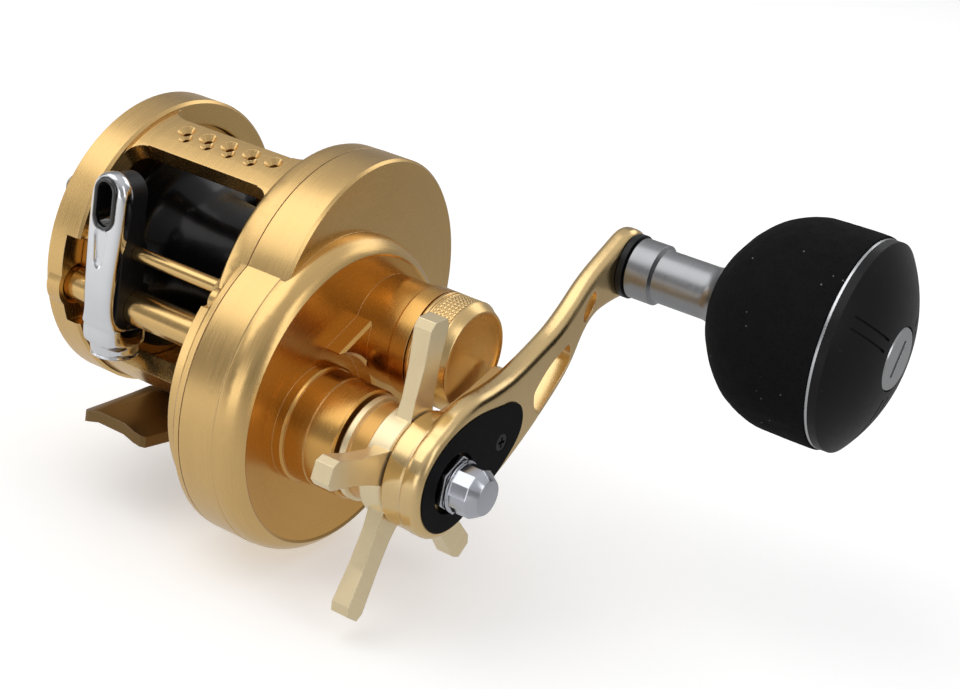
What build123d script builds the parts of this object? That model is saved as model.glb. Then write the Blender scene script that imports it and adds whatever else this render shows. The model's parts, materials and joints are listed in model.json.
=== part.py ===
from build123d import *
import math
import os

# Round-profile level-wind reel with a crank on the +X side.
# Frame: X = spool axis, +X towards the crank; -Y = front, the side the line leaves (level wind);
# +Z up, away from the foot. Parts are drawn from the middle of the spool, on the spool axis, and
# written with the origin at the middle of the foot's underside (FOOT_DATUM). Millimetres.
# Axes along X are (y, z) pairs. Angles go round the axis from +Y towards +Z, in degrees.

# ---------------------------------------------------------------- driving dimensions
RING_OUT, RING_IN = -19.2, -13.6       # outer and inner face of the palm-side ring
RING_R, RING_BORE = 23.3, 19.4
BRIDGE_R = 22.5                        # outside of the bridge and the deck
BRIDGE_START, BRIDGE_END = 104.0, 124.0    # top bridge, degrees round the spool axis
DECK_START, DECK_END = 220.0, 322.0    # lower deck
BAND_MID_R = 21.0                      # about the middle of the bridge's thickness
PLATE_IN = 13.3                        # inner face of the gear-side plate
WEB_IN, WEB_OUT = 15.0, 17.0           # web that closes the gear case
SEAM_X = 17.9                          # frame to side cover joint plane
LOBE_R = 24.5                          # upper lobe, about the spool axis
DISC, DISC_R = (-8.1, -10.0), 24.85    # gear-case lobe
FACE_X, FACE_TILT = 24.0, 3.5          # face of the upper lobe on the spool axis, and its lean
DISC_FACE_X = 28.45                    # face of the gear-case lobe
WALL = 1.15
RUN = 0.05                             # radial running clearance
SEAT_FIT = 0.01                        # radial gap between a bearing and its seat
PRESS_FIT = 0.005                      # radial gap of parts fixed on the spool shaft

DRIVE = (-15.0, -11.8)                 # drive shaft axis
WORM = (-19.5, -3.8)                   # level-wind screw axis
ROD, ROD_R = (-20.5, 5.0), 1.1         # guide rod
TUBE_R, TUBE_BORE = 2.65, 1.95         # level-wind tube
SHAFT_R = 1.5                          # spool shaft
DRIVE_R = 3.0                          # drive shaft where the drag stack sits
DRIVE_PART_BORE = DRIVE_R + 0.06
SPOOL_BEARING_SEAT = 5.0
DRIVE_BEARING_SEAT = 4.35
ONE_WAY_SEAT = 6.6
SPOOL_R, SPOOL_HALF, ARBOR_R = 16.9, 12.9, 9.6
GUIDE_X = -7.2                         # line guide, rest position

FOOT_Z = -20.2                         # underside of the deck
FOOT_T = 1.8
FOOT_X, FOOT_HALF = -2.5, 24.0         # middle of the foot along X, half its length along Y
FOOT_DATUM = (FOOT_X, 0.0, FOOT_Z - FOOT_T)

CRANK, CRANK_ANGLE = 51.0, 26.85       # crank length and direction

MAIN_TEETH, PINION_TEETH = 51, 10
LEVEL_TEETH, WORM_TEETH = 24, 12
MAIN_MODULE = 2 * math.hypot(*DRIVE) / (MAIN_TEETH + PINION_TEETH)
LEVEL_MODULE = 2 * math.dist(DRIVE, WORM) / (LEVEL_TEETH + WORM_TEETH)
TO_SPOOL = math.degrees(math.atan2(-DRIVE[1], -DRIVE[0]))    # from the drive shaft to the spool
TO_WORM = math.degrees(math.atan2(WORM[1] - DRIVE[1], WORM[0] - DRIVE[0]))

SCREW_BOSS_R = 1.75


# ---------------------------------------------------------------- helpers
def cyl(radius, x_lo, x_hi, y=0.0, z=0.0):
    """Cylinder along X."""
    return Pos(x_lo, y, z) * Rot(0, 90, 0) * Cylinder(
        radius, x_hi - x_lo, align=(Align.CENTER, Align.CENTER, Align.MIN))


def cyl_y(radius, y_lo, y_hi, z):
    """Cylinder along Y at x = 0."""
    return Pos(0, y_lo, z) * Rot(-90, 0, 0) * Cylinder(
        radius, y_hi - y_lo, align=(Align.CENTER, Align.CENTER, Align.MIN))


def upright(radius, height, x, y, z):
    """Cylinder along Z, centred on the point."""
    return Pos(x, y, z) * Cylinder(radius, height)


def tube(radius, bore, x_lo, x_hi, y=0.0, z=0.0):
    return cyl(radius, x_lo, x_hi, y, z) - cyl(bore, x_lo - 1, x_hi + 1, y, z)


def box(x_lo, x_hi, y_lo, y_hi, z_lo, z_hi):
    middle = Pos((x_lo + x_hi) / 2, (y_lo + y_hi) / 2, (z_lo + z_hi) / 2)
    return middle * Box(x_hi - x_lo, y_hi - y_lo, z_hi - z_lo)


def poly(points):
    return make_face(Polyline(*points, close=True))


def lines(*points):
    """Straight edges from point to point, as a list."""
    return [Line(start, end) for start, end in zip(points, points[1:])]


def turn_edges(edges, y=0.0, z=0.0):
    """Solid of revolution about an axis along X, from profile edges in the XY plane."""
    return Pos(0, y, z) * revolve(make_face(edges), Axis.X)


def turn(points, y=0.0, z=0.0):
    """Solid of revolution about an axis along X; points are (x, radius)."""
    return Pos(0, y, z) * revolve(poly(points), Axis.X)


def yz_extrude(sketch, x_lo, x_hi):
    """Extrude along X a sketch whose local x and y are y and z."""
    plane = Plane(origin=(x_lo, 0, 0), x_dir=(0, 1, 0), z_dir=(1, 0, 0))
    return extrude(plane * sketch, x_hi - x_lo)


def slab(points, half):
    """Outline in (x, y), extruded along Z by half to either side."""
    return Pos(0, 0, -half) * extrude(poly(points), 2 * half)


def mirror_first(points):
    return [(-first, second) for first, second in reversed(points)]


def mirror_second(points):
    return [(first, -second) for first, second in reversed(points)]


def shift_x(points, offset):
    return [(x + offset, radius) for x, radius in points]


def polar(radius, angle, y=0.0, z=0.0):
    turned = math.radians(angle)
    return (y + radius * math.cos(turned), z + radius * math.sin(turned))


def sector(bore, radius, start, end, x_lo, x_hi):
    """Part of a tube about the spool axis between two angles."""
    count = max(2, int(abs(end - start) / 30) + 1)
    reach = 2.2 * radius
    fan = [(0, 0)] + [polar(reach, start + (end - start) * i / count) for i in range(count + 1)]
    return tube(radius, bore, x_lo, x_hi) & yz_extrude(poly(fan), x_lo, x_hi)


def screw(x_head, length, radius, head_r, y, z, facing):
    """Countersunk cross-slot screw along X; facing is the sign of X the head looks to."""
    profile = [(0, 0), (0, head_r), (-(head_r - radius), radius), (-length, radius), (-length, 0)]
    body = turn([(x_head + facing * x, r) for x, r in profile], y, z)
    lo, hi = sorted((x_head - facing * 0.45, x_head + facing * 0.1))
    arm, half_slot = head_r * 0.6, 0.22
    body -= box(lo, hi, y - arm, y + arm, z - half_slot, z + half_slot)
    body -= box(lo, hi, y - half_slot, y + half_slot, z - arm, z + arm)
    return body


def group(*shapes):
    solids = []
    for shape in shapes:
        solids += shape.solids()
    return Compound(children=solids)


# ---------------------------------------------------------------- screw places
COVER_SCREWS = [polar(21.3, 62), polar(21.3, 17), polar(22.4, 268, *DISC), polar(22.4, 138, *DISC)]
PALM_SCREWS = [polar(21.2, 45), polar(21.2, 150), polar(21.2, 285)]
FOOT_SCREWS = [(-9.0, -5.5), (-9.0, 5.5), (2.0, -5.5), (2.0, 5.5)]    # (x, y)

# ---------------------------------------------------------------- frame
CORNER_R = 2.7                         # corners where the bridge and deck meet the side plates
# drain holes in the bridge: count, first x, pitch, angle, drill radius,
# cone depth, cone small radius, cone large radius, cone height
DRAIN_ROWS = [
    (5, -7.9, 4.27, 110.3, 0.65, 0.42, 0.6, 1.45, 0.9),
    (4, -6.7, 4.23, 114.4, 0.5, 0.32, 0.45, 1.1, 0.7),
]


def palm_ring():
    """Ring with a boss round the level-wind tube on its front."""
    body = turn([(RING_OUT, RING_BORE), (RING_OUT, RING_R - 0.15), (RING_OUT + 0.15, RING_R),
                 (RING_IN - 0.45, RING_R), (RING_IN, RING_R - 0.45), (RING_IN, RING_BORE)])
    boss = cyl(4.1, RING_OUT + 0.6, RING_IN, *WORM)
    return body + (boss - cyl(RING_BORE, RING_OUT - 1, RING_IN + 1))


def gear_plate():
    """Two lobes, the lower one flaring out to the joint plane, hollowed on both sides."""
    neck_r = 22.0
    body = turn([(PLATE_IN, 0), (PLATE_IN, 23.0), (PLATE_IN + 0.5, 23.75), (PLATE_IN + 1.0, 24.2),
                 (PLATE_IN + 1.6, 24.42), (SEAM_X, LOBE_R), (SEAM_X, 0)])
    body += turn([(PLATE_IN, 0), (PLATE_IN, neck_r), (PLATE_IN + 1.85, neck_r + 0.4),
                  (PLATE_IN + 2.9, neck_r + (DISC_R - neck_r) * 0.72),
                  (PLATE_IN + 3.6, DISC_R - 0.12), (SEAM_X, DISC_R), (SEAM_X, 0)], *DISC)
    body -= cyl(RING_BORE, PLATE_IN - 1, WEB_IN)             # spool recess
    body -= cyl(LOBE_R - WALL, WEB_OUT, SEAM_X + 1)          # gear case
    body -= cyl(DISC_R - WALL, WEB_OUT, SEAM_X + 1, *DISC)
    return body


def band(start, end):
    return sector(RING_BORE, BRIDGE_R, start, end, RING_IN - 0.5, PLATE_IN + 0.3)


def lower_deck():
    """Band cut flat underneath, with a flat pad for the foot."""
    body = band(DECK_START, DECK_END) - box(-30, 30, -30, 30, -30, FOOT_Z)
    pad = box(-13.9, PLATE_IN + 0.3, -8.2, 8.2, FOOT_Z, -19.0)
    return body + (pad - cyl(RING_BORE, -20, 20))


def corner(face_x, into, angle, way):
    """Concave corner fill; into is the way into the opening along X, way the way round it."""
    step = math.degrees(CORNER_R / BAND_MID_R) * way
    x_lo, x_hi = sorted((face_x - 0.3 * into, face_x + CORNER_R * into))
    start, end = sorted((angle - 0.6 * way, angle + step))
    fill = sector(RING_BORE, BRIDGE_R, start, end, x_lo, x_hi)
    drill = upright(CORNER_R, 8, face_x + CORNER_R * into, 0, BAND_MID_R)
    return fill - Rot(angle + step - 90, 0, 0) * drill


def frame():
    body = palm_ring() + gear_plate() + band(BRIDGE_START, BRIDGE_END) + lower_deck()
    for face_x, into in ((RING_IN, 1), (PLATE_IN, -1)):
        body += corner(face_x, into, BRIDGE_END, 1) + corner(face_x, into, BRIDGE_START, -1)
        body += corner(face_x, into, DECK_START, -1) + corner(face_x, into, DECK_END, 1)
    # relief in the front of the ring for the line guide, and the holes for the tube and the rod
    body -= box(-16.0, -13.0, -30, -15.5, -9.5, 4.6)
    tube_seat_r, rod_seat_r = TUBE_R + 0.1, ROD_R + 0.01
    body -= cyl(tube_seat_r, -18.2, -10, *WORM)
    body -= turn([(-16.5, 0), (-16.5, tube_seat_r), (-15.9, 3.4), (-15.9, 0)], *WORM)
    body -= cyl(rod_seat_r, -17.5, -10, *ROD)
    # seats in the gear-side plate
    body -= cyl(tube_seat_r, 10, 15.6, *WORM)
    body -= cyl(1.6, 10, 20, *WORM)
    body -= cyl(rod_seat_r, 10, 16.0, *ROD)
    body -= cyl(5.6, 10, 20)           # pinion and cam clearance through the web
    body += tube(5.6, DRIVE_BEARING_SEAT, WEB_IN + 0.4, WEB_OUT + 0.4, *DRIVE)
    body -= cyl(DRIVE_BEARING_SEAT, WEB_IN + 0.4, 20, *DRIVE)
    for count, first_x, pitch, angle, drill_r, depth, small_r, large_r, height in DRAIN_ROWS:
        hole = upright(drill_r, 8, 0, 0, BAND_MID_R)
        hole += Pos(0, 0, BRIDGE_R - depth) * Cone(small_r, large_r, height)
        for i in range(count):
            body -= Pos(first_x + pitch * i, 0, 0) * Rot(angle - 90, 0, 0) * hole
    # slots for the thumb bar's tails
    for x_lo, x_hi in ((13.0, 17.5), (-15.3, -13.0)):
        body -= box(x_lo, x_hi, 18.1, 20.3, -5.6, 2.6)
    # cover screws: the heads sit in the inner side of the plate
    for y, z in COVER_SCREWS:
        body += cyl(SCREW_BOSS_R, WEB_IN + 0.2, SEAM_X, y, z) & (
            cyl(LOBE_R - 0.3, 14, 18) + cyl(DISC_R - 0.3, 14, 18, *DISC))
        body -= cyl(0.9, WEB_IN - 3, SEAM_X + 1, y, z) + cyl(1.6, PLATE_IN - 2, 15.75, y, z)
        body -= turn([(15.7, 0), (15.7, 1.6), (16.42, 0.88), (16.42, 0)], y, z)
    for y, z in PALM_SCREWS:
        body -= cyl(0.86, RING_OUT - 1, RING_OUT + 4.5, y, z)
    for x, y in FOOT_SCREWS:
        body -= upright(1.01, 1.2, x, y, FOOT_Z + 0.55)
    return body


# ---------------------------------------------------------------- palm side
# (x from the ring's outer face, radius)
PALM_DOME = [(-0.45, 22.3), (-1.9, 19.6), (-4.1, 13.6), (-5.6, 7.0), (-6.1, 0)]
PALM_INSIDE = [(-6.1, 0), (-4.9, 0), (-4.4, 7.0), (-2.9, 13.4), (-0.9, 18.4), (2.4, 18.4),
               (2.4, RING_BORE - RUN), (0, RING_BORE - RUN), (0, 22.65)]


def palm_side_plate():
    dome = Spline(*shift_x(PALM_DOME, RING_OUT), tangents=((-0.35, -1.0), (0, -1)))
    body = turn_edges([*lines((RING_OUT, 22.65), (RING_OUT - 0.45, 22.3)), dome,
                       *lines(*shift_x(PALM_INSIDE, RING_OUT))])
    sink = shift_x([(-0.74, 0), (-0.74, 1.66), (0.04, 0.88), (0.04, 0)], RING_OUT)
    for y, z in PALM_SCREWS:
        body -= cyl(0.9, RING_OUT - 3, RING_OUT + 1, y, z)
        body -= cyl(1.66, RING_OUT - 6, RING_OUT - 0.7, y, z)
        body -= turn(sink, y, z)
    body -= cyl(TUBE_R + 0.15, RING_OUT + 0.7, -10, *WORM)   # clears the level-wind tube's end
    return body


def palm_plate_screws():
    return group(*[screw(RING_OUT - 0.72, 4.6, 0.85, 1.6, y, z, -1) for y, z in PALM_SCREWS])


def bearing_carrier():
    """Inner carrier that faces the spool, with the bearing seat and the brake race's seat."""
    body = turn([(-16.8, 0), (-16.8, 19.3), (-14.7, 19.3), (-14.7, 13.2), (-15.3, 12.9),
                 (-15.3, 0)])
    body += tube(6.6, 0.5, -20.6, -16.7)
    body -= cyl(SPOOL_BEARING_SEAT, -19.6, -14.0)
    body -= cyl(TUBE_R + 0.15, -20, -10, *WORM)
    body -= cyl(ROD_R + 0.1, -18, -10, *ROD)
    return body


def spool_bearing(x_lo, x_hi):
    """Bearing with a ring groove in each face."""
    depth = 0.35
    body = tube(SPOOL_BEARING_SEAT - SEAT_FIT, SHAFT_R + RUN, x_lo, x_hi)
    body -= tube(4.2, 2.4, x_lo - 0.5, x_lo + depth)
    return body - tube(4.2, 2.4, x_hi - depth, x_hi + 0.5)


def spool_bearing_left():
    return spool_bearing(-19.55, -15.6)


def brake_race():
    return tube(12.6, 11.8, -15.28, -13.7)


# ---------------------------------------------------------------- handle-side cover
O_RING_X = 39.2
ONE_WAY_END = 36.4
DRIVE_BOSS = [(27.0, 0), (27.0, 9.0), (29.1, 9.0), (29.4, 8.7), (29.4, 8.5), (32.9, 8.5),
              (32.95, 8.35), (37.45, 8.3), (37.75, 8.0), (37.75, 0)]    # (x, radius)
# (y, z); the first two points are the ends of the straight upper edge
PAD = [(1.7, 7.95), (-14.2, -0.45), (-9.0, -12.0), (0.0, -8.1), (4, -6), (6, 0)]


def upper_lobe():
    """Its face leans, standing out more at the front, with a fine chamfer round it."""
    body = turn([(SEAM_X, 0), (SEAM_X, LOBE_R), (27.0, LOBE_R), (27.0, 0)])
    cone = turn([(-14, 0), (-14, LOBE_R + 13.6), (0, LOBE_R - 0.4), (0, 0)])
    return body & Pos(FACE_X, 0, 0) * Rot(0, 0, FACE_TILT) * cone


def gear_lobe():
    """Rounded edge, then a face dished in to a flat middle."""
    side_end, face_edge = (24.15, DISC_R - 0.12), (DISC_FACE_X, 22.65)
    dish_start, dish_end = (DISC_FACE_X - 0.25, 22.25), (27.75, 11.6)
    return turn_edges([
        *lines((SEAM_X, 0), (SEAM_X, DISC_R), (24.0, DISC_R), side_end),
        ThreePointArc(side_end, (27.0, 24.1), face_edge),
        *lines(face_edge, dish_start),
        ThreePointArc(dish_start, (27.75, 17.5), dish_end),
        *lines(dish_end, (27.75, 0), (SEAM_X, 0))], *DISC)


def tension_pad():
    """Raised pad under the tension boss, cut back round the drive boss."""
    body = yz_extrude(poly(PAD), 23.0, 30.6)
    body -= cyl(11.05, 20, 40, *DRIVE)
    body -= turn([(30.1, 0), (30.1, 11.0), (30.15, 11.05), (30.75, 11.65), (30.75, 0)], *DRIVE)
    # chamfer along the straight upper edge
    (y, z), (far_y, far_z) = PAD[:2]
    edge = Vector(0, y - far_y, z - far_z)
    square = Vector(0, -edge.Z, edge.Y).normalized()
    plane = Plane(origin=(30.4, y - 0.2 * square.Y, z - 0.2 * square.Z), x_dir=edge,
                  z_dir=(1, square.Y, square.Z))
    body -= extrude(plane * Rectangle(80, 4), 4)
    return body & cyl(18.5, 20, 40)


def side_cover():
    body = upper_lobe() + gear_lobe()
    body += tension_pad()
    # tension boss, with the O-ring groove in its spigot
    body += cyl(8.1, 23.0, 34.4) + turn([(34.3, 0), (34.3, 8.1), (34.7, 8.5), (37.4, 8.5),
                                         (37.4, 0)])
    body += cyl(6.75, 37.3, 41.4) - tube(7.5, 6.4, O_RING_X - 0.35, O_RING_X + 0.35)
    body += turn(DRIVE_BOSS, *DRIVE)
    # hollow gear case
    body -= cyl(LOBE_R - WALL, SEAM_X - 1, 21.6)
    body -= cyl(DISC_R - WALL, SEAM_X - 1, 24.6, *DISC)
    body -= cyl(DISC_R - 2.6, SEAM_X - 1, 26.4, *DISC)
    # fine parting groove round the joint plane
    groove = box(SEAM_X, SEAM_X + 0.15, -40, 40, -40, 40)
    groove -= cyl(LOBE_R - 0.45, SEAM_X - 1, SEAM_X + 1)
    body -= groove - cyl(DISC_R - 0.45, SEAM_X - 1, SEAM_X + 1, *DISC)
    # bores: one-way bearing, drive sleeve, spool bearing, spool shaft, tension shims
    body -= cyl(ONE_WAY_SEAT, 20, ONE_WAY_END, *DRIVE)
    body -= cyl(4.6, 20, 40, *DRIVE)
    body -= cyl(SPOOL_BEARING_SEAT, 20, 33.6)
    body -= cyl(2.0, 20, 36.0)
    body -= cyl(4.0, 36.0, 42)
    for y, z in COVER_SCREWS:
        body += cyl(SCREW_BOSS_R, SEAM_X, 22.0, y, z) & (
            cyl(LOBE_R - 0.3, 14, 30) + cyl(DISC_R - 0.3, 14, 24.2, *DISC))
        body -= cyl(0.86, SEAM_X - 1, 21.6, y, z)
    return body


def side_cover_screws():
    return group(*[screw(15.72, 5.6, 0.84, 1.55, y, z, -1) for y, z in COVER_SCREWS])


def spool_bearing_right():
    return spool_bearing(30.0, 33.6)


def one_way_bearing():
    body = tube(ONE_WAY_SEAT - SEAT_FIT, 4.25, 29.2, ONE_WAY_END, *DRIVE)
    return body - tube(6.1, 4.7, 28.5, 29.7, *DRIVE)


def drive_shaft_bearing():
    body = tube(DRIVE_BEARING_SEAT - SEAT_FIT, 2.05, WEB_IN + 0.4, WEB_OUT + 0.4, *DRIVE)
    return body - tube(3.7, 2.7, WEB_OUT + 0.15, WEB_OUT + 1, *DRIVE)


def cap_o_ring():
    return Pos(O_RING_X, 0, 0) * Rot(0, 90, 0) * Torus(6.72, 0.3)


# ---------------------------------------------------------------- level wind, fixed parts
def level_wind_tube():
    """Tube slotted underneath."""
    y, z = WORM
    return tube(TUBE_R, TUBE_BORE, -18.0, 15.55, y, z) - box(-12.6, 12.6, y - 0.9, y + 0.9, z - 4, z)


def worm_bushings():
    radius = TUBE_BORE - 0.01
    return group(tube(radius, 0.95, -17.9, -15.4, *WORM), tube(radius, 1.25, 13.2, 15.5, *WORM))


def guide_rod():
    return cyl(ROD_R, -17.4, 15.9, *ROD)


# ---------------------------------------------------------------- foot
FOOT_HALF_WIDTH, FOOT_DROP = 8.0, 1.9  # half width and how far the sides turn down
# quarter of the plan outline, (x from the foot's middle, y): a tongue widening to the middle
FOOT_QUARTER = [(4.7, -FOOT_HALF), (5.6, -23.7), (6.2, -23.0), (6.6, -18.0), (7.2, -12.0),
                (7.9, -8.0)]


def reel_foot():
    """Arched section, flat in the middle, cut to the plan outline."""
    left = [(-FOOT_HALF_WIDTH, FOOT_Z - FOOT_DROP),
            (-FOOT_HALF_WIDTH * 0.62, FOOT_Z - FOOT_DROP * 0.36), (-2.6, FOOT_Z)]
    top = left + mirror_first(left)
    bottom = [(x, z - FOOT_T) for x, z in reversed(top)]
    arch = extrude(Plane.XZ * poly(top + bottom), 2 * FOOT_HALF)
    side = FOOT_QUARTER + mirror_second(FOOT_QUARTER)
    plan = extrude(poly(side + mirror_first(side)), 40)
    body = (Pos(FOOT_X, FOOT_HALF, 0) * arch) & (Pos(FOOT_X, 0, -40) * plan)
    for x, y in FOOT_SCREWS:
        body -= upright(1.06, 6, x, y, FOOT_Z - 1)
        body -= upright(1.9, 7.9, x, y, FOOT_Z - 5.2)
    return body


def foot_screws():
    screws = []
    for x, y in FOOT_SCREWS:
        body = upright(1.0, 2.3, x, y, FOOT_Z - 0.1) + upright(1.75, 0.6, x, y, FOOT_Z - 1.55)
        screws.append(body - Pos(x, y, FOOT_Z - 1.85) * Box(2.2, 0.4, 0.5))
    return group(*screws)


# ---------------------------------------------------------------- spool
PIN_X, PIN_R = 17.2, 0.5               # cross pin in the spool shaft
# left side of the spool profile, (x from the flange face, radius)
FLANGE = [(0, 0), (0, 7.0), (0.5, 9.0), (0, 16.2), (0, SPOOL_R - 0.25), (0.25, SPOOL_R),
          (0.95, SPOOL_R), (1.15, SPOOL_R - 0.3)]
ARBOR_FLARE = [FLANGE[-1], (2.4, 13.0), (5.6, 10.4)]
QUARTERS = (0, 90, 180, 270)


def spool():
    flange = shift_x(FLANGE, -SPOOL_HALF)
    flare = shift_x(ARBOR_FLARE, -SPOOL_HALF)
    arbor = Spline(*flare, (0, ARBOR_R), *mirror_first(flare), tangents=((0.12, -1), (0.12, 1)))
    body = turn_edges([*lines(*flange), arbor, *lines(*mirror_first(flange), flange[0])])
    body -= cyl(SHAFT_R + PRESS_FIT, -20, 20)
    # ring-shaped recess in each end
    body -= cyl(6.6, SPOOL_HALF - 4.0, 20) - cyl(3.2, 0, 20)
    body -= cyl(6.6, -20, -SPOOL_HALF + 4.0) - cyl(3.2, -20, 0)
    return body - Cylinder(0.55, 40)   # line-tie hole across the arbor


def spool_shaft():
    body = turn([(-19.0, 0), (-19.0, 1.2), (-18.7, SHAFT_R), (34.5, SHAFT_R), (37.9, 1.2),
                 (38.3, 0.5), (38.3, 0)])
    return body - upright(PIN_R + 0.01, 10, PIN_X, 0, 0)


def spool_pin():
    return upright(PIN_R, 5.4, PIN_X, 0, 0)


def brake_hub():
    """Centrifugal brake hub with four arms."""
    body = tube(4.1, SHAFT_R + PRESS_FIT, -15.2, -13.0)
    for angle in QUARTERS:
        arm = Rot(angle, 0, 0) * box(-14.7, -13.7, 0, 11.0, -0.5, 0.5)
        body += arm - cyl(SHAFT_R + PRESS_FIT, -20, 0)
    return body


def brake_blocks():
    """Sliding blocks, one on each arm of the hub."""
    block = box(-15.0, -13.3, 8.4, 10.8, -1.1, 1.1) - box(-14.75, -13.65, 0, 12, -0.55, 0.55)
    return group(*[Rot(angle, 0, 0) * block for angle in QUARTERS])


# ---------------------------------------------------------------- gear train
PRESSURE_ANGLE = math.radians(25)
ADDENDUM, DEDENDUM = 0.8, 1.0          # in modules
TOOTH_THINNING = 0.93                  # part of the full tooth thickness
GEAR_BORE = 2.55                       # gears on the drive shaft


def involute(angle):
    return math.tan(angle) - angle


def gear(teeth, module, x_lo, x_hi, phase):
    """Spur gear on the X axis with involute flanks; phase is the angle of one tooth's middle."""
    pitch_r = teeth * module / 2
    base_r = pitch_r * math.cos(PRESSURE_ANGLE)
    tip_r, root_r = pitch_r + ADDENDUM * module, pitch_r - DEDENDUM * module
    half_tooth = math.pi / (2 * teeth) * TOOTH_THINNING + involute(PRESSURE_ANGLE)
    start_r = max(base_r, root_r)
    flank = []                         # (radius, angle from the tooth's middle)
    for k in range(4):
        radius = start_r + (tip_r - start_r) * k / 3
        flank.append((radius, half_tooth - involute(math.acos(min(1.0, base_r / radius)))))
    if root_r < base_r:
        flank.insert(0, (root_r, flank[0][1]))
    tooth = [(radius, -angle) for radius, angle in flank] + flank[::-1]
    points = []
    for i in range(teeth):
        middle = math.radians(phase) + 2 * math.pi * i / teeth
        points += [(radius * math.cos(middle + angle), radius * math.sin(middle + angle))
                   for radius, angle in tooth]
    return yz_extrude(poly(points), x_lo, x_hi)


def bored_gear(teeth, module, bore, x_lo, x_hi, phase, axis):
    return Pos(0, *axis) * (gear(teeth, module, x_lo, x_hi, phase) - cyl(bore, x_lo - 1, x_hi + 1))


def main_gear():
    body = bored_gear(MAIN_TEETH, MAIN_MODULE, GEAR_BORE, 19.7, 22.7, TO_SPOOL, DRIVE)
    return body - cyl(13.2, 20.9, 23, *DRIVE)                # recess for the drag stack


def pinion():
    body = gear(PINION_TEETH, MAIN_MODULE, 18.5, 22.75, TO_SPOOL + 180 + 180.0 / PINION_TEETH)
    body += cyl(2.45, 18.0, 28.6) + cyl(3.5, 16.6, 18.2)
    body += cyl(3.6, 22.75, 23.1) + cyl(3.6, 24.1, 24.6)     # flanges round the yoke groove
    body -= cyl(SHAFT_R + RUN, 10, 40)
    return body - box(16.0, 17.75, -0.6, 0.6, -4, 4)         # slot that takes the spool pin


def level_wind_gear():
    return bored_gear(LEVEL_TEETH, LEVEL_MODULE, GEAR_BORE, 17.75, 19.0, TO_WORM, DRIVE)


def worm_gear():
    return bored_gear(WORM_TEETH, LEVEL_MODULE, 1.22, 17.6, 19.1,
                      TO_WORM + 180 + 180.0 / WORM_TEETH, WORM)


def worm_shaft():
    """Level-wind screw; crossed tilted ring grooves stand for its double thread."""
    body = turn([(-17.7, 0), (-17.7, 0.9), (-15.0, 0.9), (-15.0, 1.6), (12.9, 1.6), (12.9, 1.2),
                 (19.2, 1.2), (19.2, 0)])
    groove = tube(3, 1.12, -0.3, 0.3)
    for i in range(7):
        for tilt in (24, -24):
            body -= Pos(-10.5 + 3.5 * i, 0, 0) * Rot(0, 0, tilt) * groove
    return Pos(0, *WORM) * body


# ---------------------------------------------------------------- drive shaft and drag stack
DRAG_PITCH = 1.35                      # one washer and one plate
WASHER_X, WASHER_T = 21.0, 0.6
DRAG_PLATE_X, DRAG_PLATE_T = 21.62, 0.71
DRAG_R = 12.9
CRANK_SEAT_X = 46.6                    # where the two flats for the crank begin


def drive_shaft():
    body = cyl(2.0, 15.6, 17.6) + cyl(3.4, 17.45, 17.72) + cyl(2.5, 17.5, 22)
    body = body + cyl(DRIVE_R, 20.95, CRANK_SEAT_X) + cyl(2.6, 46.5, 58.0)
    body -= box(CRANK_SEAT_X, 60, 2.2, 5, -5, 5) + box(CRANK_SEAT_X, 60, -5, -2.2, -5, 5)
    return Pos(0, *DRIVE) * body


def drag_rings(count, radius, bore, first_x, thick):
    starts = [first_x + DRAG_PITCH * i for i in range(count)]
    return group(*[tube(radius, bore, x, x + thick, *DRIVE) for x in starts])


def drag_washers():
    return drag_rings(3, DRAG_R, 3.3, WASHER_X, WASHER_T)


def drag_plates():
    return drag_rings(2, 12.7, DRIVE_PART_BORE, DRAG_PLATE_X, DRAG_PLATE_T)


def pressure_plate():
    x = DRAG_PLATE_X + 2 * DRAG_PITCH
    return turn([(x, DRIVE_PART_BORE), (x, DRAG_R), (25.3, DRAG_R), (25.3, 6.5), (25.9, 5.6),
                 (28.6, 5.6), (28.6, DRIVE_PART_BORE)], *DRIVE)


def spring_washers():
    cone = [(36.7, DRIVE_PART_BORE), (36.52, 4.45), (36.82, 4.45), (37.0, DRIVE_PART_BORE)]
    return group(*[turn(shift_x(cone, 0.55 * k), *DRIVE) for k in range(2)])


def clutch_sleeve():
    return tube(4.2, DRIVE_PART_BORE, 28.65, 36.5, *DRIVE)


# ---------------------------------------------------------------- clutch
YOKE_ANGLE = TO_SPOOL + 90.0           # the yoke bar lies square to the line between the shafts
YOKE_IN, YOKE_OUT = 23.2, 24.0
POST_REACH = 9.6                       # spool axis to a yoke post
POSTS = [polar(POST_REACH * side, YOKE_ANGLE) for side in (-1, 1)]
SPRING_R, SPRING_PITCH = 1.2, 0.36
CAM_SWEEP, CAM_LIFT, CAM_STEPS = 12.73, 1.2, 6    # ramp length in degrees, its rise, its steps
CAM_FACE = 18.0
TAIL_TOP_Z = 2.0                       # thumb bar tails


def yoke():
    """Fork round the pinion, open on one side, with two legs reaching the cam."""
    across = Rot(YOKE_ANGLE, 0, 0)
    body = cyl(4.7, YOKE_IN, YOKE_OUT)
    body += across * box(YOKE_IN, YOKE_OUT, -11.2, 11.2, -1.9, 1.9)
    body -= cyl(2.55, 20, 30)
    body -= Rot(TO_SPOOL, 0, 0) * box(20, 30, 0, 8, -2.55, 2.55)
    for side in (-1, 1):
        y_lo, y_hi = sorted((side * 6.2, side * 7.8))
        body += across * box(18.08, 23.3, y_lo, y_hi, -0.6, 0.6)
        body -= across * cyl(0.86, 20, 30, side * POST_REACH)
    return body


def yoke_posts():
    return group(*[cyl(0.8, WEB_OUT, 26.35, y, z) for y, z in POSTS])


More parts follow.
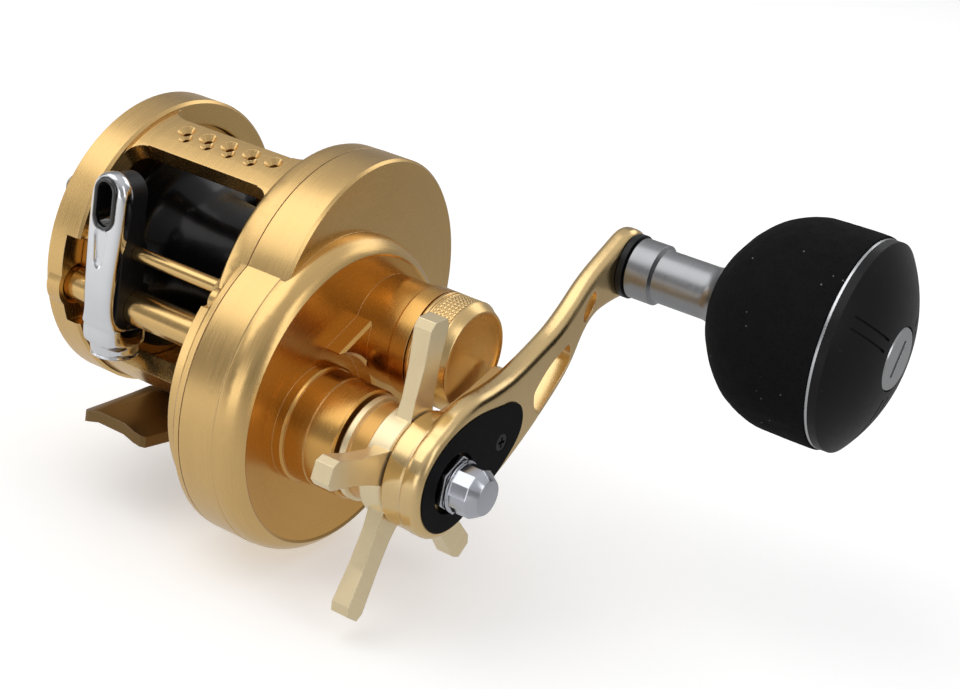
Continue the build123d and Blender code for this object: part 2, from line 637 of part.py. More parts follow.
def yoke_springs():
    springs = []
    for y, z in POSTS:
        wire = Plane(origin=(SPRING_R, 0, 0), x_dir=(1, 0, 0), z_dir=(0, 1, 0)) * Circle(0.16)
        path = Helix(pitch=SPRING_PITCH, height=2 * SPRING_PITCH, radius=SPRING_R)
        springs.append(Pos(25.45, y, z) * Rot(0, 90, 0) * sweep(wire, path=path))
    return group(*springs)


def clutch_cam():
    """Ring with two stepped ramps and an arm to the thumb bar's tail."""
    back = WEB_OUT + 0.05
    body = tube(8.4, 4.1, back, CAM_FACE)
    step = CAM_SWEEP / CAM_STEPS
    for turned in (0, 180):
        for k in range(1, CAM_STEPS + 1):
            start = YOKE_ANGLE + turned + 5.0 + step * k
            end = start + (step if k < CAM_STEPS else 9.0)
            top = CAM_FACE + CAM_LIFT * k / CAM_STEPS - 0.04
            body += sector(6.1, 7.9, start, end + 0.01, 17.9, top)
    return body + (box(back, CAM_FACE, 7.6, 20.0, -2.9, -1.1) - cyl(7.5, 10, 30))


def thumb_bar():
    """Curved bar at the back with nine grip grooves and a tail at each end."""
    body = sector(19.8, BRIDGE_R, -16, 13, RING_IN + 0.25, PLATE_IN - 0.25)
    for k in range(9):
        body -= cyl(0.28, -11.5, 11.5, *polar(BRIDGE_R, -11 + 2.6 * k))
    for x_lo, x_hi, y_hi in ((PLATE_IN - 0.4, 18.1, 20.1), (-14.5, RING_IN + 0.4, 20.1),
                             (PLATE_IN - 1.4, PLATE_IN - 0.25, 21.0),
                             (RING_IN + 0.25, RING_IN + 1.4, 21.0)):
        body += box(x_lo, x_hi, 18.3, y_hi, -1.0, TAIL_TOP_Z)
    return body


# ---------------------------------------------------------------- star drag
STAR_START, STAR_ARMS = 94.0, 5        # angle of the first arm
STAR_BORE = DRIVE_R + RUN
STAR_HUB = [(38.3, STAR_BORE), (38.3, 7.6), (38.6, 7.9), (39.5, 7.9), (39.7, 7.3), (42.3, 7.3),
            (42.6, 8.0), (42.9, 8.3), (46.2, 8.3), (46.5, 8.0), (46.5, STAR_BORE)]  # (x, radius)
STAR_SIDE = [(43.4, 5), (44.3, 11), (44.9, 23.2), (47.9, 23.2), (47.3, 17), (46.6, 11),
             (46.4, 5)]                # arm from the side, (x, reach)
STAR_EDGE = [(5, -2.9), (10, -2.3), (16, -1.9), (21.8, -2.1), (23.0, -1.3)]   # (reach, across)


def star_drag():
    body = turn(STAR_HUB)
    arm = yz_extrude(poly(STAR_EDGE + mirror_second(STAR_EDGE)), 40, 50) & slab(STAR_SIDE, 6)
    for k in range(STAR_ARMS):
        body += Rot(STAR_START + 360 / STAR_ARMS * k, 0, 0) * arm - cyl(4, 30, 60)
    return Pos(0, *DRIVE) * body


# ---------------------------------------------------------------- crank
# Crank outlines are (along, across) from the drive shaft, along pointing to the knob.
CRANK_HUB_R, CRANK_END_R = 8.75, 5.5
CRANK_TOP = [(0.0, CRANK_HUB_R), (4.0, 9.1), (8.0, 8.6), (12.5, 7.0), (17.5, 5.3), (23.0, 4.1),
             (28.5, 3.5), (34.0, 3.9), (39.5, 4.8), (44.0, 5.2), (CRANK, CRANK_END_R)]
CRANK_LOW = [(CRANK, -CRANK_END_R), (47.5, -4.2), (44.0, -2.9), (40.0, -1.9), (36.5, -2.5),
             (32.0, -5.1), (27.0, -6.9), (21.0, -7.6), (15.0, -7.7), (9.0, -7.9), (4.0, -8.5),
             (0.0, -CRANK_HUB_R)]
CRANK_SIDE = [(49.3, -12), (49.3, 13), (48.3, 26), (47.6, 42), (47.6, 60), (51.0, 60),
              (51.0, 42), (51.9, 26), (53.0, 13), (53.0, -12)]    # (x, along)
CRANK_WINDOWS = [
    [(31.3, -0.4), (32.2, -1.6), (31.6, -3.7), (28.4, -5.0), (23.4, -6.1), (21.9, -5.9),
     (21.0, -4.4), (21.3, -2.2), (22.6, -1.3), (27.0, -0.4)],
    [(40.2, 2.9), (41.0, 2.2), (40.6, 0.8), (38.2, -0.4), (36.9, -0.3), (36.6, 0.6),
     (37.5, 2.1), (39.0, 2.8)],
]
INSERT = [(0, 7.5), (5, 7.2), (9.5, 5.6), (14.0, 3.0), (16.6, 1.0), (17.1, -1.2), (16.0, -3.8),
          (13.0, -5.6), (8.0, -6.9), (3.5, -7.4), (0, -7.5), (-5.3, -5.3), (-7.5, 0), (-5.3, 5.3)]
INSERT_X = 52.0                        # floor of the insert's recess


def crank_yz(along, across):
    """Point of the crank's plan as (y, z)."""
    cos, sin = math.cos(math.radians(CRANK_ANGLE)), math.sin(math.radians(CRANK_ANGLE))
    return (DRIVE[0] + along * cos - across * sin, DRIVE[1] + along * sin + across * cos)


KNOB = crank_yz(CRANK, 0)              # knob axis
INSERT_SCREW = crank_yz(11.4, -2.2)
ALONG_CRANK = Pos(0, *DRIVE) * Rot(CRANK_ANGLE, 0, 0)


def closed_spline(outline, x_lo, x_hi):
    points = [crank_yz(*point) for point in outline]
    return yz_extrude(make_face(Spline(*points, periodic=True)), x_lo, x_hi)


def handle_arm():
    top = [crank_yz(*point) for point in CRANK_TOP]
    low = [crank_yz(*point) for point in CRANK_LOW]
    outline = make_face([
        Spline(*top), ThreePointArc(top[-1], crank_yz(CRANK + CRANK_END_R, 0), low[0]),
        Spline(*low), ThreePointArc(low[-1], crank_yz(-CRANK_HUB_R, 0), top[0])])
    body = yz_extrude(outline, 45.0, 55.0) & (ALONG_CRANK * slab(CRANK_SIDE, 14))
    body += cyl(8.6, 46.75, 49.5, *DRIVE)
    for window in CRANK_WINDOWS:
        body -= closed_spline(window, 40, 60)
    body -= closed_spline(INSERT, INSERT_X, 60)
    flatted_hole = cyl(2.63, 40, 60) & box(40, 60, -2.23, 2.23, -5, 5)
    body -= Pos(0, *DRIVE) * flatted_hole
    body -= cyl(2.02, 40, 60, *KNOB)
    return body - cyl(0.8, 50.2, 60, *INSERT_SCREW)


def handle_insert():
    body = closed_spline(INSERT, INSERT_X, 53.15)
    body -= cyl(4.6, 40, 60, *DRIVE)
    body -= cyl(0.85, 40, 60, *INSERT_SCREW)
    return body - cyl(1.45, 52.6, 60, *INSERT_SCREW)


def insert_screw():
    return screw(53.1, 2.8, 0.78, 1.38, *INSERT_SCREW, 1)


def handle_nut():
    nut = yz_extrude(RegularPolygon(4.45, 6), INSERT_X, INSERT_X + 1.9)
    return ALONG_CRANK * (nut - cyl(2.62, 40, 60))


def nut_cap():
    body = turn([(54.0, 0), (54.0, 4.1), (54.5, 4.1), (54.8, 3.75), (57.9, 3.6), (58.9, 2.5),
                 (58.9, 0)], *DRIVE)
    return body - cyl(2.64, 50, 58.1, *DRIVE)


# ---------------------------------------------------------------- knob
KNOB_SHAFT_R = 2.0
KNOB_BORE = KNOB_SHAFT_R + RUN
INNER_SEAT, OUTER_SEAT = 3.5, 4.0      # radii of the bearing seats in the core
GRIP_START, GRIP_END = (67.8, 6.9), (88.9, 16.5)
GRIP_BORE = 6.6
GRIP_CURVE = [GRIP_START, (69.2, 9.2), (71.4, 12.1), (74.4, 14.6), (78.8, 16.35), GRIP_END]
CAP_X = 89.45                          # flat back of the knob cap


def knob_shaft():
    return turn([(46.9, 0), (46.9, 2.6), (47.2, 3.0), (47.55, 3.0), (47.55, KNOB_SHAFT_R),
                 (94.2, KNOB_SHAFT_R), (94.2, 0)], *KNOB)


def knob_washer():
    return tube(5.1, KNOB_BORE, 51.05, 52.0, *KNOB)


def knob_core():
    neck, shoulder = (64.9, 4.2), (67.9, 6.5)
    body = turn_edges([
        *lines((52.1, 0), (52.1, 4.5), (52.4, 4.8), (56.3, 4.8), (56.8, 4.2), neck),
        ThreePointArc(neck, (66.8, 4.85), shoulder),
        *lines(shoulder, (89.0, 6.5), (89.0, 0), (52.1, 0))], *KNOB)
    body -= cyl(KNOB_BORE, 50, 100, *KNOB)
    body -= cyl(OUTER_SEAT, 80.0, 90, *KNOB)
    return body - cyl(INNER_SEAT, 52.0, 54.6, *KNOB)


def knob_bearings():
    return group(tube(INNER_SEAT - 0.02, KNOB_BORE, 52.15, 54.55, *KNOB),
                 tube(OUTER_SEAT - 0.02, KNOB_BORE, 80.05, 83.0, *KNOB))


def knob_grip():
    start, end = (GRIP_START[0], GRIP_BORE), (GRIP_END[0], GRIP_BORE)
    return turn_edges([*lines(start, GRIP_START), Spline(*GRIP_CURVE, tangents=((0.35, 1), (1, 0))),
                       *lines(GRIP_END, end, start)], *KNOB)


def knob_ring():
    return tube(16.15, 13.5, 89.0, 89.4, *KNOB)


def cap_dome(inset):
    """Domed body of the knob cap, its outside drawn in by inset."""
    side_r, top_x = 16.1 - inset, 95.48 - inset
    return turn_edges([
        *lines((CAP_X, 0), (CAP_X, side_r), (90.7, side_r)),
        ThreePointArc((90.7, side_r), (93.72 - inset * 0.9, 11.0 - inset * 0.4), (top_x, 5.0)),
        *lines((top_x, 5.0), (top_x, 0), (CAP_X, 0))])


def knob_cap():
    """Dome with three pairs of shallow radial grooves, hollow at the back."""
    body = cap_dome(0)
    skin = body - cap_dome(0.35)
    for k in range(3):
        for middle in (-0.9, 0.9):
            groove = skin & box(88, 96, 6.2, 14.3, middle - 0.22, middle + 0.22)
            body -= Rot(30 + 120 * k, 0, 0) * groove
    body -= cyl(5.0, 94.0, 100)
    body -= cyl(2.3, 80, 100)
    body -= cyl(9.0, 80, 92.7)
    return Pos(0, *KNOB) * body


def knob_cap_screw():
    body = turn([(94.25, 0), (94.25, 4.9), (95.3, 4.9), (95.6, 4.6), (95.6, 0)])
    body -= box(95.15, 96, -2.9, 2.9, -0.55, 0.55)
    return Pos(0, *KNOB) * Rot(62, 0, 0) * body


# ---------------------------------------------------------------- tension cap
def tension_cap():
    body = turn([(37.5, 7.1), (37.5, 8.3), (37.7, 8.5), (38.2, 8.5), (38.2, 8.3), (38.5, 8.3),
                 (38.7, 8.5), (42.4, 8.5), (42.6, 8.3), (44.0, 7.45), (43.8, 7.2), (43.8, 0),
                 (41.8, 0), (41.8, 7.1)])
    return body + cyl(3.8, 39.7, 42.0)


def tension_shims():
    return group(cyl(3.7, 39.2, 39.65), cyl(3.7, 38.7, 39.15))


# ---------------------------------------------------------------- line guide
GUIDE_HALF, GUIDE_COVER_HALF = 3.1, 3.2    # half widths along X
GUIDE_FRONT = -23.4
EYE_Z = 12.4
AT_GUIDE = Pos(GUIDE_X, 0, 0)


def eye_slot(half_width, half_height, y_lo, y_hi):
    """Upright round-ended slot along Y."""
    rise = half_height - half_width
    return (box(-half_width, half_width, y_lo, y_hi, EYE_Z - rise, EYE_Z + rise)
            + cyl_y(half_width, y_lo, y_hi, EYE_Z + rise)
            + cyl_y(half_width, y_lo, y_hi, EYE_Z - rise))


def under_worm(radius, height, z):
    """Upright cylinder in line with the level-wind screw."""
    return upright(radius, height, 0, WORM[0], z)


def line_guide_body():
    half = GUIDE_HALF
    body = box(-half, half, GUIDE_FRONT, -19.3, -9.5, 13.6) + cyl_y(half, GUIDE_FRONT, -19.3, 13.6)
    body += (cyl(3.9, -half, half, *WORM) + cyl(2.3, -half, half, *ROD)
             + box(-half, half, -21.5, -18.4, -3, 6))
    body += under_worm(3.4, 5.4, -9.0)
    body -= cyl(SPOOL_R + 0.25, -10, 10)
    body -= cyl(TUBE_R + 0.07, -10, 10, *WORM)
    body -= cyl(ROD_R + 0.06, -10, 10, *ROD)
    body -= eye_slot(2.2, 4.1, -30, -10)
    body -= under_worm(1.7, 5.0, -10)
    body -= under_worm(0.85, 5.0, -8)
    body -= under_worm(2.9, 0.7, -11.7)
    return AT_GUIDE * body


def line_guide_cover():
    half, front, back = GUIDE_COVER_HALF, -24.6, GUIDE_FRONT - 0.02
    body = box(-half, half, front, back, -11.0, 13.8) + cyl_y(half, front, back, 13.8)
    return AT_GUIDE * (body - eye_slot(2.2, 4.1, -30, -10))


def line_eye():
    return AT_GUIDE * (eye_slot(2.18, 4.08, -24.9, -19.0) - eye_slot(1.4, 3.3, -30, -10))


def guide_pawl():
    return AT_GUIDE * (under_worm(1.62, 2.9, -9.0) + under_worm(0.78, 2.1, -6.5))


def pawl_cap():
    return AT_GUIDE * (under_worm(2.86, 0.6, -11.75) + under_worm(3.3, 0.4, -12.2)
                       + under_worm(1.5, 1.0, -11.0))


# ---------------------------------------------------------------- write
# each piece's file takes its function's name
PIECES = (
    frame, palm_side_plate, palm_plate_screws, bearing_carrier, spool_bearing_left, brake_race,
    side_cover, side_cover_screws, spool_bearing_right, one_way_bearing, drive_shaft_bearing,
    cap_o_ring, level_wind_tube, worm_bushings, guide_rod, reel_foot, foot_screws,
    spool, spool_shaft, spool_pin, brake_hub, brake_blocks,
    main_gear, pinion, level_wind_gear, worm_gear, worm_shaft,
    drive_shaft, drag_washers, drag_plates, pressure_plate, spring_washers, clutch_sleeve,
    yoke, yoke_posts, yoke_springs, clutch_cam, thumb_bar, star_drag,
    handle_arm, handle_insert, insert_screw, handle_nut, nut_cap,
    knob_shaft, knob_washer, knob_core, knob_bearings, knob_grip, knob_ring, knob_cap,
    knob_cap_screw, tension_cap, tension_shims,
    line_guide_body, line_guide_cover, line_eye, guide_pawl, pawl_cap,
)

os.makedirs("parts", exist_ok=True)
to_datum = Pos(*[-value for value in FOOT_DATUM])
for piece in PIECES:
    solids = [to_datum * solid for solid in piece().solids()]
    shape = solids[0] if len(solids) == 1 else group(*solids)
    export_step(shape, f"parts/{piece.__name__}.step")
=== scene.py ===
# A baitcasting fishing reel. X runs along the spool axis with the crank on the +X side,
# the line guide faces -Y and Z is up. CAD pieces get node materials; the pieces that need
# finer shapes are rebuilt here in mm from the middle of the spool, then moved into place.
import bpy, bmesh, json, math
from mathutils import Vector, Matrix, noise


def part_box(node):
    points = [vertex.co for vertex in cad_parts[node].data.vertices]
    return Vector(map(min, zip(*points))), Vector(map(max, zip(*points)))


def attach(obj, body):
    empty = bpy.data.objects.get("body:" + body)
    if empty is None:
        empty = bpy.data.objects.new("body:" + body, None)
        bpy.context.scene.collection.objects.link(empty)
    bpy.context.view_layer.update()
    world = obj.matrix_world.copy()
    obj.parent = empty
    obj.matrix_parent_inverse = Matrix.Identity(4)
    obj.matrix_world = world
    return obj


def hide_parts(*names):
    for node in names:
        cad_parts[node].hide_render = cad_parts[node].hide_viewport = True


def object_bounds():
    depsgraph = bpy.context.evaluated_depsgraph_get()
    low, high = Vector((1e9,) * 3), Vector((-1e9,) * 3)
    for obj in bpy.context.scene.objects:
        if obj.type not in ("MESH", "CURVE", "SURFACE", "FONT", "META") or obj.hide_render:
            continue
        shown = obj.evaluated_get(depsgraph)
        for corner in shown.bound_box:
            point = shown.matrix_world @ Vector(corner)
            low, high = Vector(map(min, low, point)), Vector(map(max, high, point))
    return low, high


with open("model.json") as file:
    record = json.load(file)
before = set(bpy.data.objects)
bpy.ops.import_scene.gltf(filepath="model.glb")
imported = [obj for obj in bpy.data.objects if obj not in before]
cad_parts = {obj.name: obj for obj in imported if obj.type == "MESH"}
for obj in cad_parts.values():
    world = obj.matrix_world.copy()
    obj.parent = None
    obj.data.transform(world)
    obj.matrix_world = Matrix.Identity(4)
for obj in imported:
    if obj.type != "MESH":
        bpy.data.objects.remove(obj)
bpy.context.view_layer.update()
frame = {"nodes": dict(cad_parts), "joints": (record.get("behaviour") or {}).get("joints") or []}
NODES = frame["nodes"]
JOINT = {joint["name"]: joint for joint in frame["joints"]}
MM = 0.001

spool_low, spool_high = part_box("spool")
ORIGIN = Vector(((spool_low.x + spool_high.x) / 2, *JOINT["spool_spin"]["pos_m"][1:]))


def joint_axis(name):
    """(y, z) of a joint from ORIGIN, in metres."""
    position = JOINT[name]["pos_m"]
    return (position[1] - ORIGIN.y, position[2] - ORIGIN.z)


def node_box(name):
    """Low and high corners of a CAD node from ORIGIN, in mm."""
    low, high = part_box(name)
    return (low - ORIGIN) / MM, (high - ORIGIN) / MM


# Axes along X: (y, z) in metres from ORIGIN
SPOOL = (0.0, 0.0)
DRIVE = joint_axis("handle_turn")
KNOB = joint_axis("knob_spin")
WORM = joint_axis("worm_spin")
DISC = (-0.0081, -0.0100)      # round lobe of the gear case
rod_low, rod_high = node_box("guide_rod")
ROD = ((rod_low.y + rod_high.y) / 2 * MM, (rod_low.z + rod_high.z) / 2 * MM)
CRANK_DIR = Vector((0, KNOB[0] - DRIVE[0], KNOB[1] - DRIVE[1])).normalized()


# ------------------------------------------------------------------ material builder


class NodeMaterial:
    """A material with a Principled shader, and short calls for the nodes that feed it."""

    def __init__(self, name):
        self.material = bpy.data.materials.new(name)
        self.material.use_nodes = True
        self.tree = self.material.node_tree
        self.tree.nodes.clear()
        self.output = self.node("ShaderNodeOutputMaterial")
        self.bsdf = self.node("ShaderNodeBsdfPrincipled")
        self.put(self.output.inputs[0], self.bsdf.outputs[0])
        self._pos = None

    def put(self, socket, value):
        """Link or set an input; None leaves it alone, and a colour gains an alpha of 1."""
        if isinstance(value, bpy.types.NodeSocket):
            self.tree.links.new(value, socket)
        elif value is not None:
            if hasattr(socket.default_value, "__len__"):
                value = (list(value) + [1.0])[:len(socket.default_value)]
            socket.default_value = value

    def node(self, kind, inputs=None, **props):
        node = self.tree.nodes.new(kind)
        for key, value in props.items():
            setattr(node, key, value)
        for key, value in (inputs or {}).items():
            self.put(node.inputs[key], value)
        return node

    def set(self, **inputs):
        for key, value in inputs.items():
            self.put(self.bsdf.inputs[key.replace("_", " ")], value)

    @property
    def pos(self):
        """Object position from ORIGIN, in metres."""
        if self._pos is None:
            coords = self.node("ShaderNodeTexCoord").outputs["Object"]
            self._pos = self.vector_math("SUBTRACT", coords, tuple(ORIGIN))
        return self._pos

    def math(self, operation, a, b=None, clamp=False):
        return self.node("ShaderNodeMath", {0: a, 1: b},
                         operation=operation, use_clamp=clamp).outputs[0]

    def add(self, a, b):
        return self.math("ADD", a, b)

    def sub(self, a, b, clamp=False):
        return self.math("SUBTRACT", a, b, clamp)

    def mul(self, a, b):
        return self.math("MULTIPLY", a, b)

    def hypot(self, y, z):
        return self.math("SQRT", self.add(self.mul(y, y), self.mul(z, z)))

    def distance(self, y, z, axis):
        return self.hypot(self.sub(y, axis[0]), self.sub(z, axis[1]))

    def vector_math(self, operation, a, b=None):
        node = self.node("ShaderNodeVectorMath", {0: a, 1: b}, operation=operation)
        return node.outputs["Value" if operation == "DOT_PRODUCT" else 0]

    def scaled(self, vector, factors):
        return self.vector_math("MULTIPLY", vector, factors)

    def xyz(self, vector):
        return self.node("ShaderNodeSeparateXYZ", {0: vector}).outputs

    def vector(self, x, y, z):
        return self.node("ShaderNodeCombineXYZ", {0: x, 1: y, 2: z}).outputs[0]

    def noise(self, vector, scale=1.0, detail=2.0, rough=0.5, distortion=0.0):
        return self.node("ShaderNodeTexNoise", {
            "Vector": vector, "Scale": scale, "Detail": detail,
            "Roughness": rough, "Distortion": distortion}).outputs[0]

    def cells(self, vector, scale):
        """Distance to the nearest Voronoi cell point."""
        return self.node("ShaderNodeTexVoronoi", {"Vector": vector, "Scale": scale}).outputs[0]

    def ramp(self, value, zero, one, low=0.0, high=1.0):
        """low where value is `zero`, high where it is `one`, straight between and clamped."""
        inputs = dict(enumerate((value, zero, one, low, high)))
        return self.node("ShaderNodeMapRange", inputs, clamp=True).outputs[0]

    def mix(self, factor, a, b):
        return self.node("ShaderNodeMix", {0: factor, 6: a, 7: b}, data_type="RGBA").outputs[2]

    def mix_vector(self, factor, a, b):
        return self.node("ShaderNodeMix", {0: factor, 4: a, 5: b}, data_type="VECTOR").outputs[1]

    def bump(self, height, strength, distance, normal=None):
        return self.node("ShaderNodeBump", {
            "Strength": strength, "Distance": distance,
            "Height": height, "Normal": normal}).outputs[0]

    def bevel(self, radius):
        return self.node("ShaderNodeBevel", {"Radius": radius}, samples=4).outputs[0]

    def edge(self, bevel_normal):
        """0 on flats, rising at outer and inner edges."""
        normal = self.node("ShaderNodeNewGeometry").outputs["Normal"]
        return self.ramp(self.vector_math("DOT_PRODUCT", bevel_normal, normal),
                         zero=0.995, one=0.86)


def tone(colour, gain, lift=0.0):
    return [min(1.0, channel * gain + lift) for channel in colour]


# ------------------------------------------------------------------ kinds of material
GOLD = (0.80, 0.53, 0.215)
GOLD_DEEP = (0.74, 0.41, 0.115)
GOLD_LIGHT = (0.86, 0.62, 0.30)
LATHE_LINES = 4200.0     # noise cells per metre across the tool marks


def from_axis(mat, centre):
    """y and z from an X axis through centre, a (y, z) pair or a vector socket."""
    if isinstance(centre, tuple):
        centre = (0.0, *centre)
    _, y, z = mat.xyz(mat.vector_math("SUBTRACT", mat.pos, centre))
    return y, z


def turned_metal(name, centre, base, rough, line, aniso, bevel=0.00012, edge_highlight_gain=0.25,
                 deep_mask=None, linear=False, metallic=1.0, coat=0.0):
    """Machined metal: fine lathe lines about an axis, soft tone changes, edges painted brighter
    as a highlight.

    centre may be a function of the material; line is the strength of the tool marks;
    deep_mask shows GOLD_DEEP where it is 1; linear runs the marks along X instead.
    """
    mat = NodeMaterial(name)
    if callable(centre):
        centre = centre(mat)
    y, z = from_axis(mat, centre)
    around = mat.vector_math("NORMALIZE", mat.vector(0.0, mat.mul(z, -1.0), y))
    tangent = mat.node("ShaderNodeVectorTransform", {0: around}, vector_type="VECTOR",
                       convert_from="OBJECT", convert_to="WORLD").outputs[0]
    if linear:
        coords = mat.scaled(mat.pos, (60.0, LATHE_LINES, LATHE_LINES))
    else:
        coords = mat.vector(mat.mul(mat.xyz(mat.pos)[0], LATHE_LINES),
                            mat.mul(mat.hypot(y, z), LATHE_LINES),
                            mat.mul(mat.math("ARCTAN2", z, y), 2.2))
    fine = mat.noise(coords, detail=4.0, rough=0.62)
    coarse = mat.noise(mat.scaled(coords, (0.12, 0.12, 0.6)), detail=3.0)
    cloud = mat.noise(mat.pos, scale=90.0, detail=3.0)
    grit = mat.noise(mat.pos, scale=5200.0, rough=0.6)
    bevelled = mat.bevel(bevel)
    edge = mat.edge(bevelled)

    # tone: tool marks and clouds, stretched over most of their summed weight
    shade = mat.add(mat.mul(fine, line), mat.mul(coarse, line * 0.6))
    shade = mat.add(shade, mat.mul(cloud, 0.35))
    weight = line * 1.6 + 0.35
    shade = mat.ramp(shade, zero=0.25 * weight, one=0.85 * weight)
    colour = mat.mix(shade, tone(base, gain=0.88), tone(base, gain=1.08))
    if deep_mask is not None:
        deep = mat.mix(shade, tone(GOLD_DEEP, gain=0.85), GOLD_DEEP)
        colour = mat.mix(deep_mask(mat), colour, deep)
    # painted highlight: the edges are mixed towards a paler tone of the base colour
    colour = mat.mix(mat.mul(edge, edge_highlight_gain), colour, tone(base, gain=0.5, lift=0.5))

    # roughness: up with the marks and scuffs, down on the edges
    scuff = mat.ramp(mat.noise(mat.pos, scale=380.0, detail=5.0, rough=0.65),
                     zero=0.60, one=0.72)
    roughness = mat.add(mat.mul(fine, 0.32 * line), rough - 0.16 * line)
    roughness = mat.add(roughness, mat.mul(scuff, 0.06))
    roughness = mat.sub(roughness, mat.mul(edge, 0.06), clamp=True)
    height = mat.add(mat.mul(fine, 1.0), mat.mul(grit, 0.25))
    normal = mat.bump(height, strength=0.10 + 0.18 * line, distance=0.00002, normal=bevelled)
    mat.set(Base_Color=colour, Metallic=metallic, Roughness=roughness, Anisotropic=aniso,
            Tangent=tangent, Normal=normal)
    if coat:
        mat.set(Coat_Weight=coat, Coat_Roughness=0.08)
    return mat.material


def polished(name, base, rough, bevel):
    """Polished metal with hairline scratches, faint ripple and smudges."""
    mat = NodeMaterial(name)
    hair = mat.noise(mat.scaled(mat.pos, (900.0, 5200.0, 300.0)),
                     detail=3.0, rough=0.6, distortion=0.4)
    smear = mat.noise(mat.pos, scale=160.0, detail=4.0, rough=0.55)
    ripple = mat.noise(mat.pos, scale=260.0, detail=1.0, rough=0.4)
    smudge = mat.mul(mat.ramp(smear, zero=0.45, one=0.75), 0.10)
    scratch = mat.mul(mat.ramp(hair, zero=0.62, one=0.7), 0.03)
    height = mat.add(mat.mul(hair, 0.5), mat.mul(ripple, 1.5))
    mat.set(Base_Color=mat.mix(smear, tone(base, gain=0.9), base), Metallic=1.0,
            Roughness=mat.add(mat.add(rough, smudge), scratch),
            Normal=mat.bump(height, strength=0.06, distance=0.00006, normal=mat.bevel(bevel)))
    return mat.material


def plastic(name, base, rough, grain=1400.0, grain_height=0.25, bevel=0.00015, coat=0.0,
            specular=0.5):
    """Moulded plastic or rubber: fine grain, uneven sheen, specks of dust, edges painted paler
    as a highlight.
    """
    mat = NodeMaterial(name)
    bevelled = mat.bevel(bevel)
    edge = mat.edge(bevelled)
    grains = mat.noise(mat.pos, scale=grain, detail=4.0, rough=0.6)
    cloud = mat.noise(mat.pos, scale=120.0, detail=3.0)
    dust = mat.ramp(mat.noise(mat.pos, scale=900.0, detail=4.0, rough=0.7),
                    zero=0.66, one=0.74)
    colour = mat.mix(cloud, tone(base, gain=0.75), tone(base, gain=1.25))
    colour = mat.mix(mat.mul(dust, 0.12), colour, (0.30, 0.29, 0.27))
    # painted highlight: the edges are mixed towards a paler tone of the base colour
    colour = mat.mix(mat.mul(edge, 0.25), colour, tone(base, gain=2, lift=0.03))
    mat.set(Base_Color=colour, Roughness=mat.add(mat.mul(grains, 0.16), rough - 0.08),
            Normal=mat.bump(grains, strength=grain_height, distance=0.00004, normal=bevelled),
            Specular_IOR_Level=specular)
    if coat:
        mat.set(Coat_Weight=coat, Coat_Roughness=0.05)
    return mat.material


def foam(name):
    """Closed-cell foam: matte, cut pores of two sizes painted darker as shade, pale crumbs
    caught in them.
    """
    mat = NodeMaterial(name)
    large = mat.cells(mat.pos, scale=1500.0)
    small = mat.cells(mat.vector_math("ADD", mat.pos, (0.013, 0.007, 0.003)), scale=3300.0)
    patches = mat.noise(mat.pos, scale=420.0, detail=4.0, rough=0.6)
    pores = mat.add(mat.mul(mat.ramp(large, zero=0.0, one=0.5), 0.6),
                    mat.mul(mat.ramp(small, zero=0.0, one=0.5), 0.4))
    crumbs = mat.cells(mat.pos, scale=620.0)
    crumb_areas = mat.ramp(mat.noise(mat.pos, scale=240.0), zero=0.57, one=0.61)
    crumbs = mat.mul(mat.ramp(crumbs, zero=0.11, one=0.06), crumb_areas)
    # painted shade: the pore centres are darker than the foam around them
    colour = mat.mix(pores, (0.0028, 0.0028, 0.0031), (0.0075, 0.0075, 0.0082))
    colour = mat.mix(mat.mul(patches, 0.45), colour, (0.0095, 0.0095, 0.0105))
    colour = mat.mix(mat.mul(crumbs, 0.65), colour, (0.33, 0.32, 0.30))
    height = mat.add(pores, mat.mul(patches, 0.5))
    mat.set(Base_Color=colour,
            Roughness=mat.ramp(patches, zero=0.3, one=0.7, low=0.74, high=0.95),
            Normal=mat.bump(height, strength=0.55, distance=0.00012),
            Specular_IOR_Level=0.09)
    return mat.material


def carbon(name):
    """Woven friction disc: two diagonal thread directions."""
    threads = 6000.0     # radians per metre
    mat = NodeMaterial(name)
    _, y, z = mat.xyz(mat.pos)
    weave = mat.mul(mat.math("SINE", mat.mul(mat.add(y, z), threads)),
                    mat.math("SINE", mat.mul(mat.sub(y, z), threads)))
    fibre = mat.noise(mat.pos, scale=9000.0)
    colour = mat.mix(mat.ramp(weave, zero=-0.4, one=0.4),
                     (0.008, 0.008, 0.009), (0.05, 0.05, 0.055))
    mat.set(Base_Color=colour,
            Roughness=mat.ramp(fibre, zero=0.3, one=0.7, low=0.3, high=0.5),
            Normal=mat.bump(mat.add(weave, fibre), strength=0.4, distance=0.00005))
    return mat.material


# ------------------------------------------------------------------ masks, in metres


def frame_centre(mat):
    """Lines on the gear-case lobe follow DISC; everywhere else they follow the spool."""
    x, y, z = mat.xyz(mat.pos)
    past_disc_rim = mat.sub(mat.distance(y, z, DISC), 0.02485)
    past_spool_rim = mat.sub(mat.hypot(y, z), 0.0245)
    on_disc = mat.mul(mat.ramp(mat.sub(past_disc_rim, past_spool_rim), zero=0.0001, one=-0.0001),
                      mat.ramp(x, zero=0.0132, one=0.0134))
    return mat.mix_vector(on_disc, (0.0, *SPOOL), (0.0, *DISC))


def cover_centre(mat):
    """Lines follow DISC, but the raised bosses follow the spool and drive axes."""
    x, y, z = mat.xyz(mat.pos)
    on_disc = mat.ramp(mat.distance(y, z, DISC), zero=0.02495, one=0.0249)
    centre = mat.mix_vector(on_disc, (0.0, *SPOOL), (0.0, *DISC))
    spool_boss = mat.mul(mat.ramp(mat.hypot(y, z), zero=0.0087, one=0.0086),
                         mat.ramp(x, zero=0.0283, one=0.0284))
    centre = mat.mix_vector(spool_boss, centre, (0.0, *SPOOL))
    drive_boss = mat.mul(mat.ramp(mat.distance(y, z, DRIVE), zero=0.0092, one=0.0091),
                         mat.ramp(x, zero=0.0279, one=0.0280))
    return mat.mix_vector(drive_boss, centre, (0.0, *DRIVE))


